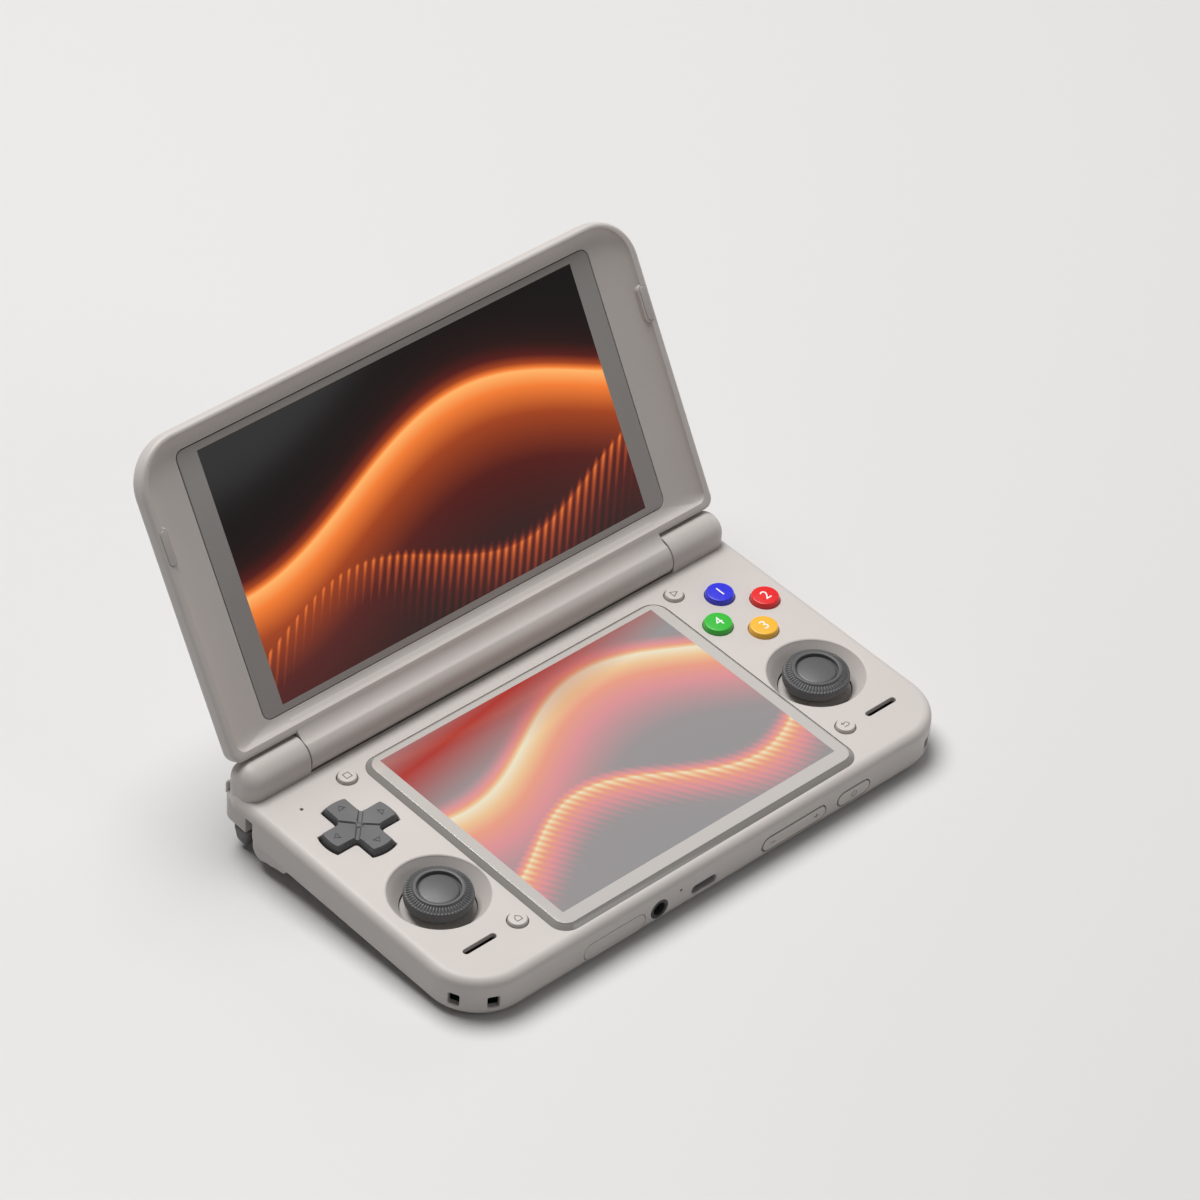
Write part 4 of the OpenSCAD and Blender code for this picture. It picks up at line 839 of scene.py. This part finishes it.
# ---- Small buttons ----
# Four grey keys beside the display's corners, each with a thin sunk figure: a square, a
# triangle, a house and a returning arrow.
SMALL_FOOT, SMALL_RISE, FIGURE_SCALE, FIGURE_LINE = 2.55, 0.85, 1.08, 0.26
small_plastic = grained("small_plastic", (0.55, 0.512, 0.486), 0.42, 0.16, 0.02)
mark_grey = grained("mark_grey", (0.13, 0.12, 0.115), 0.5, 0.2, 0.02)
t = np.linspace(-0.62 * pi, 0.72 * pi, 16)
hook = [[-0.85, -0.62], *np.stack([0.25 + 0.62 * np.cos(t), 0.62 * np.sin(t)], 1), [-0.7, 0.55]]
figures = {
    "square": [([[-0.8, -0.8], [0.8, -0.8], [0.8, 0.8], [-0.8, 0.8]], True)],
    "triangle": [([[-0.72, -0.9], [0.95, 0.0], [-0.72, 0.9]], True)],
    "home": [([[-0.75, -0.8], [0.75, -0.8], [0.75, 0.15], [0.0, 0.95], [-0.75, 0.15]], True)],
    "return": [(hook, False), ([[-0.32, 1.0], [-0.85, 0.55], [-0.32, 0.12]], False)],
}
for name, side, y in (("square", -1, SMALL_REAR), ("triangle", 1, SMALL_REAR),
                      ("home", -1, SMALL_FRONT), ("return", 1, SMALL_FRONT)):
    x = side * SMALL_X
    key = solid("button_" + name + "_cap",
                button_cap(SMALL_FOOT, SMALL_FOOT - 0.15, SMALL_RISE, 0.03, 0.3, x, y, 64))
    dress(key, small_plastic)
    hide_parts("button_" + name)
    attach(key, "key_" + name)
    mark = solid("mark_" + name, *[
        shifted(line_mark(np.array(points) * FIGURE_SCALE, FIGURE_LINE, SMALL_RISE - 0.15,
                          SMALL_RISE + 0.004, loop), x, y, DECK) for points, loop in figures[name]])
    dress(mark, mark_grey)
    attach(mark, "key_" + name)

# ---- Front edge ----
# From left to right: a pull-off card door, the headphone jack in its dark ring, a status
# light, the charging port, the volume rocker and the power button.
DOOR_W, DOOR_H, DOOR_DEPTH = 20.0, 5.1, -1.4
KEY_FACE, KEY_H, KEY_DEPTH, KEY_PLAY, FLANGE_H, MARK_Z = 0.12, 4.0, -1.85, 0.3, 5.0, (0.02, 0.132)


def faced(w, h, face, depth, edge):
    """A slot-shaped plug from depth behind to its face, whose edge is a quarter round."""
    return stack(lambda g: stadium(w, h, -g), (depth, 0.0), *rim(face, edge, 6))


door = solid("card_door", facing_front(faced(DOOR_W, DOOR_H, 0.0, DOOR_DEPTH, 0.12), CARD_X, PORT_Z))
dress(door, shell_plastic)
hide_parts("card_cover")
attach(door, "card_door")

sleeve = [(1.78, -13.2), (1.78, -0.35), (1.86, -0.12), (2.05, 0.0), (2.6, 0.0), (2.75, -0.1), (2.78, -0.4),
          (2.78, -2.0), (3.0, -2.2), (3.0, -13.9), (0, -13.9), (0, -13.2)]
jack = solid("jack_sleeve", facing_front(lathe(sleeve), JACK_X, JACK_Z))
jack_plastic = grained("jack_plastic", (0.035, 0.035, 0.037), 0.38, 0.3, 0.01)
dress(jack, jack_plastic)
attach(jack, "base")
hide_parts("headphone_jack")
spring = prism(outline(0.35, -0.2, 0.2, 0.1, 0.1, 4), -4.5, -2.6)
contacts = solid("jack_contacts", *[
    facing_front(shifted(spring, 1.62 * cos(t), 1.62 * sin(t)), JACK_X, JACK_Z) for t in (0.4, 2.7, 4.4)])
dress(contacts, mottled("contact_metal", (0.62, 0.50, 0.30), (0.78, 0.64, 0.38), 1500, 0.25, 1.0, 0.0, 2.0))
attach(contacts, "base")

mouth = [(9.16, 3.06, -7.5), (9.16, 3.06, -0.25), (9.1, 3.0, -0.1), (8.5, 2.72, -0.1), (8.34, 2.56, -0.22),
         (8.34, 2.56, -6.9)]
can = tube([level(stadium(w, h), z) for w, h, z in mouth])
port = solid("charging_port", facing_front(can, USB_X, USB_Z))
dress(port, mottled("port_steel", (0.56, 0.54, 0.52), (0.68, 0.66, 0.64), 700, 0.5, 0.35))
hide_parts("usb_c_port")
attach(port, "base")
blade = stack(lambda g: outline(3.35 - g, g - 0.35, 0.35 - g, 0.2, 0.2, 4),
              (-7.0, 0), (-1.0, 0), (-0.9, 0.1))
tongue = solid("port_tongue", facing_front(blade, USB_X, USB_Z))
dress(tongue, jack_plastic)
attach(tongue, "base")

for name, x, w, node in (("volume_key", ROCKER_X, 21.9, "volume_rocker"),
                         ("power_key", POWER_X, 11.2, "power_button")):
    cap = faced(w - KEY_PLAY, KEY_H, KEY_FACE, KEY_DEPTH, 0.22)
    flange = prism(stadium(w + 1.4, FLANGE_H), KEY_DEPTH - 0.3, KEY_DEPTH + 0.05)
    key = solid(name + "_cap", facing_front(cap, x, KEY_Z), facing_front(flange, x, KEY_Z))
    dress(key, small_plastic)
    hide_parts(node)
    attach(key, name)
signs = [line_mark([(x - 0.8, 0), (x, 0), (x + 0.8, 0)], 0.28, *MARK_Z) for x in (-7.4, 7.5)]
signs.append(line_mark([(7.5, -0.8), (7.5, 0), (7.5, 0.8)], 0.28, MARK_Z[0], MARK_Z[1] + 0.001))
t = np.linspace(0.68 * pi, 2.32 * pi, 22)
power_sign = [line_mark(0.85 * np.stack([np.cos(t), np.sin(t)], 1), 0.22, *MARK_Z),
              line_mark([(0, 0.25), (0, 0.7), (0, 1.15)], 0.22, *MARK_Z)]
for name, parts, x, body in (("volume_marks", signs, ROCKER_X, "volume_key"),
                             ("power_mark", power_sign, POWER_X, "power_key")):
    mark = solid(name, *[facing_front(part, x, KEY_Z) for part in parts])
    dress(mark, mark_grey)
    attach(mark, body)

# ---- Shoulder buttons ----
# Behind each rear corner a bumper in the shell's grey lies over a dark trigger. The
# bumper swings on a pin at its inner end, the trigger on a pin along its top.
BUMPER_IN, BUMPER_OUT, BUMPER_Y0, BUMPER_Y1, BUMPER_R = 50.6, 80.0, 44.9, 55.0, 4.2
BUMPER_Z0, BUMPER_Z1, RAIL_X, RAIL_HALF, RAIL_Y, RAIL_TOP = -12.7, -5.3, 66.2, 12.2, 54.0, -3.0
TRIGGER_IN, TRIGGER_OUT, TRIGGER_TOP, TRIGGER_H, TRIGGER_Y = 50.6, 79.0, -13.5, 5.5, 51.2
EDGE_ROUND = 0.00035  # metres


def bumper_loop(g):
    """Plan of a bumper drawn in by g: square inside, a broad arc at the outer rear corner."""
    r = max(BUMPER_R - g, 0.3)
    arc_at = [(BUMPER_OUT - g - r + r * cos(t), BUMPER_Y1 - g - r + r * sin(t)) for t in quarter(16)]
    return np.array([(BUMPER_IN + g, BUMPER_Y0 + g), (BUMPER_OUT - g, BUMPER_Y0 + g), *arc_at,
                     (BUMPER_IN + g, BUMPER_Y1 - g)])


def trigger_section(inset):
    """Lengthwise section of a trigger: a curved finger face to the rear, hollowed below.
    An inset draws every point that far towards the section's middle."""
    h, y = TRIGGER_H, TRIGGER_Y
    raw = np.array([[45.1, 0], [y - 0.6, 0], [y - 0.1, -0.25], [y, -0.8], [y - 0.1, -0.35 * h],
                    [y - 0.35, -0.6 * h], [y - 0.8, -0.8 * h], [y - 1.5, -0.94 * h], [y - 2.4, -h],
                    [46.6, -h], [46.1, -0.85 * h], [45.8, -0.55 * h]])
    centre = raw.mean(0)
    spread = raw - centre
    scale = 1 - inset / np.maximum(np.linalg.norm(spread, axis=1), 1)[:, None]
    return centre + spread * scale + [0, TRIGGER_TOP]


bumper = stack(bumper_loop, *shelled(BUMPER_Z0, BUMPER_Z1, 0.9, 0.9, 7))
rail = shifted(stack(lambda g: outline(RAIL_HALF - g, RAIL_Y + g, BUMPER_Y1 - 0.02 - g, 0.4, 0.4, 5),
                     (BUMPER_Z1 - 1.0, 0.0), (RAIL_TOP - 0.5, 0.0), (RAIL_TOP - 0.1, 0.14),
                     (RAIL_TOP, 0.34)), RAIL_X)
ends = [(TRIGGER_IN, 0.6), (TRIGGER_IN + 0.2, 0.25), (TRIGGER_IN + 0.6, 0.0)]
ends += rim(TRIGGER_OUT, 1.6, 7)
trigger = tube([section_at(x, trigger_section(inset)) for x, inset in ends])
bumper_plastic = grained("bumper_plastic", (0.50, 0.465, 0.44), 0.45, 0.16, 0.02)
trigger_plastic = grained("trigger_plastic", (0.15, 0.147, 0.145), 0.46, 0.16, 0.02)
for name, side in (("left", -1), ("right", 1)):
    for kind, (p, f), material, slot in (("bumper", bumper, bumper_plastic, "shell_dark"),
                                         ("trigger", trigger, trigger_plastic, "dark_plastic")):
        key = solid(kind + "_key_" + name, (p * [side, 1, 1], f))
        if kind == "bumper":
            join(key, (rail[0] * [side, 1, 1], rail[1]))
        bevel = key.modifiers.new("edges", "BEVEL")
        bevel.width, bevel.segments = EDGE_ROUND, 3
        bevel.limit_method, bevel.angle_limit = "ANGLE", radians(40)
        dress(key, material, flats=True)
        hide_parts(kind + "_" + name)
        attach(key, kind + "_key_" + name)

# ---- Lid ----
# The lid is a back cover with the hinge barrel, and a bezel whose inside is dished from
# the glass up to a narrow rim, steep at the sides and short above and below.
lean = radians(180 + joint["lid_hinge"]["range_deg"][0])
LID_AWAY = cos(lean) * DECK_BACK + sin(lean) * DECK_UP
LID_OUT = cos(lean) * DECK_UP - sin(lean) * DECK_BACK
LID_HALF, LID_NEAR, LID_FAR, LID_RIM, LID_BACK, LID_SPLIT = 80.6, 5.7, 89.5, 2.7, -4.5, -1.6
FAR_R, NEAR_R, BACK_ROUND, RIM_ROUND = 13.0, 3.0, 4.6, 1.0
GLASS_FACE, MID, SEAT_X, SEAT_Y, SEAT_R, SEAT_Z = 0.1, 47.5, 67.3, 36.4, 2.5, -1.08
BAND, CREST_FAR, CREST_NEAR = 11.0, 4.25, 3.15
BUFFER_X, BUFFER_Y, BUFFER_LEN, BUFFER_W = LID_HALF - RIM_ROUND - 1.05, MID + 16.2, 9.4, 2.1
BUFFER_PROUD = 0.24
INNER_X, INNER_Y, POCKET_X, POCKET_Y, POCKET_Z = 63.15, 35.45, 76.0, 36.5, -3.3


def on_lid(p):
    """Millimetres in the lid frame (across, away from the hinge, out of the glass)."""
    return HINGE + 0.001 * np.asarray(p, float) @ np.array([ACROSS, LID_AWAY, LID_OUT])


def lid_loop(inset, z):
    """The lid's outline drawn in by inset, at height z."""
    return level(outline(LID_HALF - inset, LID_NEAR + inset, LID_FAR - inset,
                         max(NEAR_R - inset, 0.4), max(FAR_R - inset, 0.4), 16), z)


def back_inset(z):
    """How far the lid's side is drawn in at height z by the round of its back edge."""
    return rounded(BACK_ROUND + LID_BACK - z, BACK_ROUND)


def dish_loop(t, z=None, narrow=0.0):
    """The dish's outline at bearing t of its quarter ellipse, 0 at the glass, pi/2 at the rim."""
    height = GLASS_FACE + (LID_RIM - GLASS_FACE) * (1 - cos(t)) if z is None else z
    near, far = MID - SEAT_Y + narrow - CREST_NEAR * sin(t), MID + SEAT_Y - narrow + CREST_FAR * sin(t)
    half = SEAT_X - narrow + BAND * sin(t)
    return level(outline(half, near, far, SEAT_R, SEAT_R + 8.5 * sin(t), 16), height)


def buffer_stack(side, *steps):
    """A slot shape along the lid's side at a buffer's place: (height, grow) steps."""
    return stack(lambda g: stadium(BUFFER_LEN, BUFFER_W, g)[:, ::-1] + [side * BUFFER_X, BUFFER_Y], *steps)


rows = [lid_loop(back_inset(LID_SPLIT) + 0.12, LID_SPLIT + 0.01)]
rows += [lid_loop(back_inset(z), z) for z in np.linspace(LID_SPLIT + 0.13, 0.1, 6)]
rows += [lid_loop(g, z) for z, g in rim(LID_RIM, RIM_ROUND, 8)]
rows += [dish_loop(pi / 2, LID_RIM, -0.22), dish_loop(pi / 2, LID_RIM - 0.06, -0.06),
         dish_loop(pi / 2, LID_RIM - 0.22)]
rows += [dish_loop(t) for t in np.linspace(0.44 * pi, 0.04, 18)]
rows += [dish_loop(0.0), dish_loop(0.0, GLASS_FACE - 0.12, 0.06), dish_loop(0.0, SEAT_Z, 0.06)]
inner = outline(INNER_X, MID - INNER_Y, MID + INNER_Y, 0.4, 0.4, 16)
rows += [level(inner, SEAT_Z), level(inner, LID_SPLIT + 0.01)]
bezel = solid("lid_bezel_shell", tube(rows, closed=True), place=on_lid)
for side in SIDES:
    join(bezel, buffer_stack(side, (0.4, 0.9), (LID_RIM - 0.35, 0.55), (LID_RIM - 0.1, 0.42),
                             (LID_RIM - 0.002, 0.2)), place=on_lid)
    cut(bezel, buffer_stack(side, (LID_RIM - 1.2, 0.09), (LID_RIM + 1, 0.09)), place=on_lid)
dress(bezel, shell_plastic, flats=True)
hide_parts("lid_bezel")
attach(bezel, "lid")

rows = [lid_loop(back_inset(LID_SPLIT) + 0.12, LID_SPLIT),
        lid_loop(back_inset(LID_SPLIT - 0.13), LID_SPLIT - 0.13)]
for t in np.linspace(0.42, pi / 2, 10):
    z = LID_BACK + BACK_ROUND * (1 - sin(t))
    if z < LID_SPLIT - 0.2:
        rows.append(lid_loop(BACK_ROUND * (1 - cos(t)), z))
cover = solid("lid_back_shell", tube(rows), place=on_lid)
cut(cover, prism(outline(POCKET_X, MID - POCKET_Y, MID + POCKET_Y, 3, 3), POCKET_Z, 1), place=on_lid)


def barrel_section(inset):
    """Section of the hinge barrel in (away, out): round the pin, then a hollow quadratic
    curve from the bezel's rim in front and a flat run into the back cover behind."""
    turn = np.radians(np.linspace(62, 262, 56))
    body = (BARREL - inset) * np.stack([np.cos(turn), np.sin(turn)], 1)
    behind = [(2.5, -4.95 + inset), (5.0, -4.65 + inset), (9.6, LID_BACK + inset + 0.02), (9.9, -2.2)]
    inside = [(9.6, 0.3), (7.6, LID_RIM - 0.6)]
    u = np.linspace(0, 1, 12)[:-1, None]
    start, pull = np.array([6.85, LID_RIM - 0.01 - inset]), np.array([4.1, LID_RIM - 0.15 - inset])
    hollow = (1 - u) ** 2 * start + 2 * u * (1 - u) * pull + u ** 2 * body[0]
    return np.vstack([body, behind, inside, hollow])


END = KNUCKLE_IN - 0.3
barrel = solid("lid_barrel", tube([section_at(x, barrel_section(inset)) for x, inset in (
    (-END, 0.25), (-END + 0.08, 0.08), (-END + 0.3, 0), (END - 0.3, 0), (END - 0.08, 0.08), (END, 0.25))]),
    place=on_lid)
for made in (cover, barrel):
    dress(made, shell_plastic, flats=True)
    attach(made, "lid")
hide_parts("lid_back_cover")

# ---- Upper display ----
# A sheet of strengthened glass lies flush in the bottom of the dish, glued to the bezel's
# seat. Its border is printed from behind in grey round the wide picture.
UPPER_HALF, UPPER_TALL = 60.88, 34.245
SHEET = (67.0, MID - 36.1, MID + 36.1, 2.2)
upper_glass = solid("upper_glass", tube([level(outline(*SHEET, 2.2, 12), SEAT_Z + 0.02)] +
                                        plate(*SHEET, GLASS_FACE, 0.1, 4)), place=on_lid, sharp=24)
lay_picture(upper_glass, LID_AWAY, on_lid((0, MID, 0)), UPPER_HALF, UPPER_TALL)
upper_picture, shader, s = finish("upper_picture", 0.14, Specular_IOR_Level=0.22, Emission_Strength=1.0)
across, up, inside = picture_place(s, 3.556)
tint = wave_design(s, across, up, (0.18, 0.34, 1.35, 0.9, 7.0, 1.25), (-0.55, 0.22, 2.1, 3.4, 12.0, 2.2),
                   (80.0, -0.5, 0.45, 0.82), (
                       (0.0, (0.006, 0.005, 0.005)), (0.2, (0.022, 0.007, 0.006)),
                       (0.42, (0.085, 0.010, 0.008)), (0.66, (0.36, 0.055, 0.012)),
                       (0.86, (0.90, 0.21, 0.035)), (1.0, (1.0, 0.46, 0.14))))
feed(shader, Base_Color=inside.mix((0.33, 0.31, 0.295, 1), (0.008, 0.008, 0.008, 1)),
     Emission_Color=inside.mix((0, 0, 0, 1), tint))
dress(upper_glass, upper_picture)
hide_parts("upper_display_glass")
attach(upper_glass, "lid")

# ---- Buffers ----
# Two strips of grey moulded rubber are pressed into slots in the rim's sides. They keep
# the shut lid off the deck and stand a little proud, with round edges.
strip = [(LID_RIM - 1.15, 0.0)] + [(z, -g) for z, g in rim(LID_RIM + BUFFER_PROUD, 0.2, 5)]
buffers = solid("rim_buffers", *[buffer_stack(side, *strip) for side in SIDES], place=on_lid)
dress(buffers, grained("buffer_rubber", (0.47, 0.437, 0.415), 0.66, 0.25, 0.03))
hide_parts("lid_buffers")
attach(buffers, "lid")

# ---- Inner pieces ----
# Boards, cell, fan, sockets and pins keep their solids; each gets the finish of its stuff:
# a dark and a light colour, the scale of their mottling, roughness and metallic.
stock = {
    "board_mask": ((0.012, 0.05, 0.03), (0.02, 0.09, 0.05), 260, 0.35, 0.0,
                   "main_board control_board_left control_board_right"),
    "steel_stock": ((0.42, 0.42, 0.43), (0.6, 0.6, 0.61), 500, 0.35, 1.0,
                    "card_socket stick_gimbal_left stick_gimbal_right stick_shaft_left stick_shaft_right "
                    "dpad_pivot shoulder_pins side_switches lanyard_posts hinge_pins lid_magnets"),
    "dark_moulding": ((0.03, 0.03, 0.032), (0.05, 0.05, 0.052), 400, 0.5, 0.0,
                      "fan_housing fan_impeller rear_vent_grille speaker_left speaker_right "
                      "stick_housing_left stick_housing_right battery"),
    "display_stack": ((0.01, 0.01, 0.012), (0.018, 0.018, 0.02), 300, 0.3, 0.0,
                      "lower_display_panel upper_display_panel"),
    "copper_fins": ((0.5, 0.22, 0.12), (0.66, 0.32, 0.19), 420, 0.35, 1.0, "heatsink"),
    "grey_silicone": ((0.2, 0.21, 0.2), (0.27, 0.28, 0.27), 300, 0.7, 0.0,
                      "button_membrane_left button_membrane_right"),
    "light_pipe": ((0.10, 0.03, 0.02), (0.16, 0.05, 0.03), 800, 0.2, 0.0, "status_light"),
}
for name, (dark, light, scale, roughness, metallic, nodes) in stock.items():
    material = mottled(name, dark, light, scale, roughness, metallic)
    for node in nodes.split():
        dress(frame["nodes"][node], material)
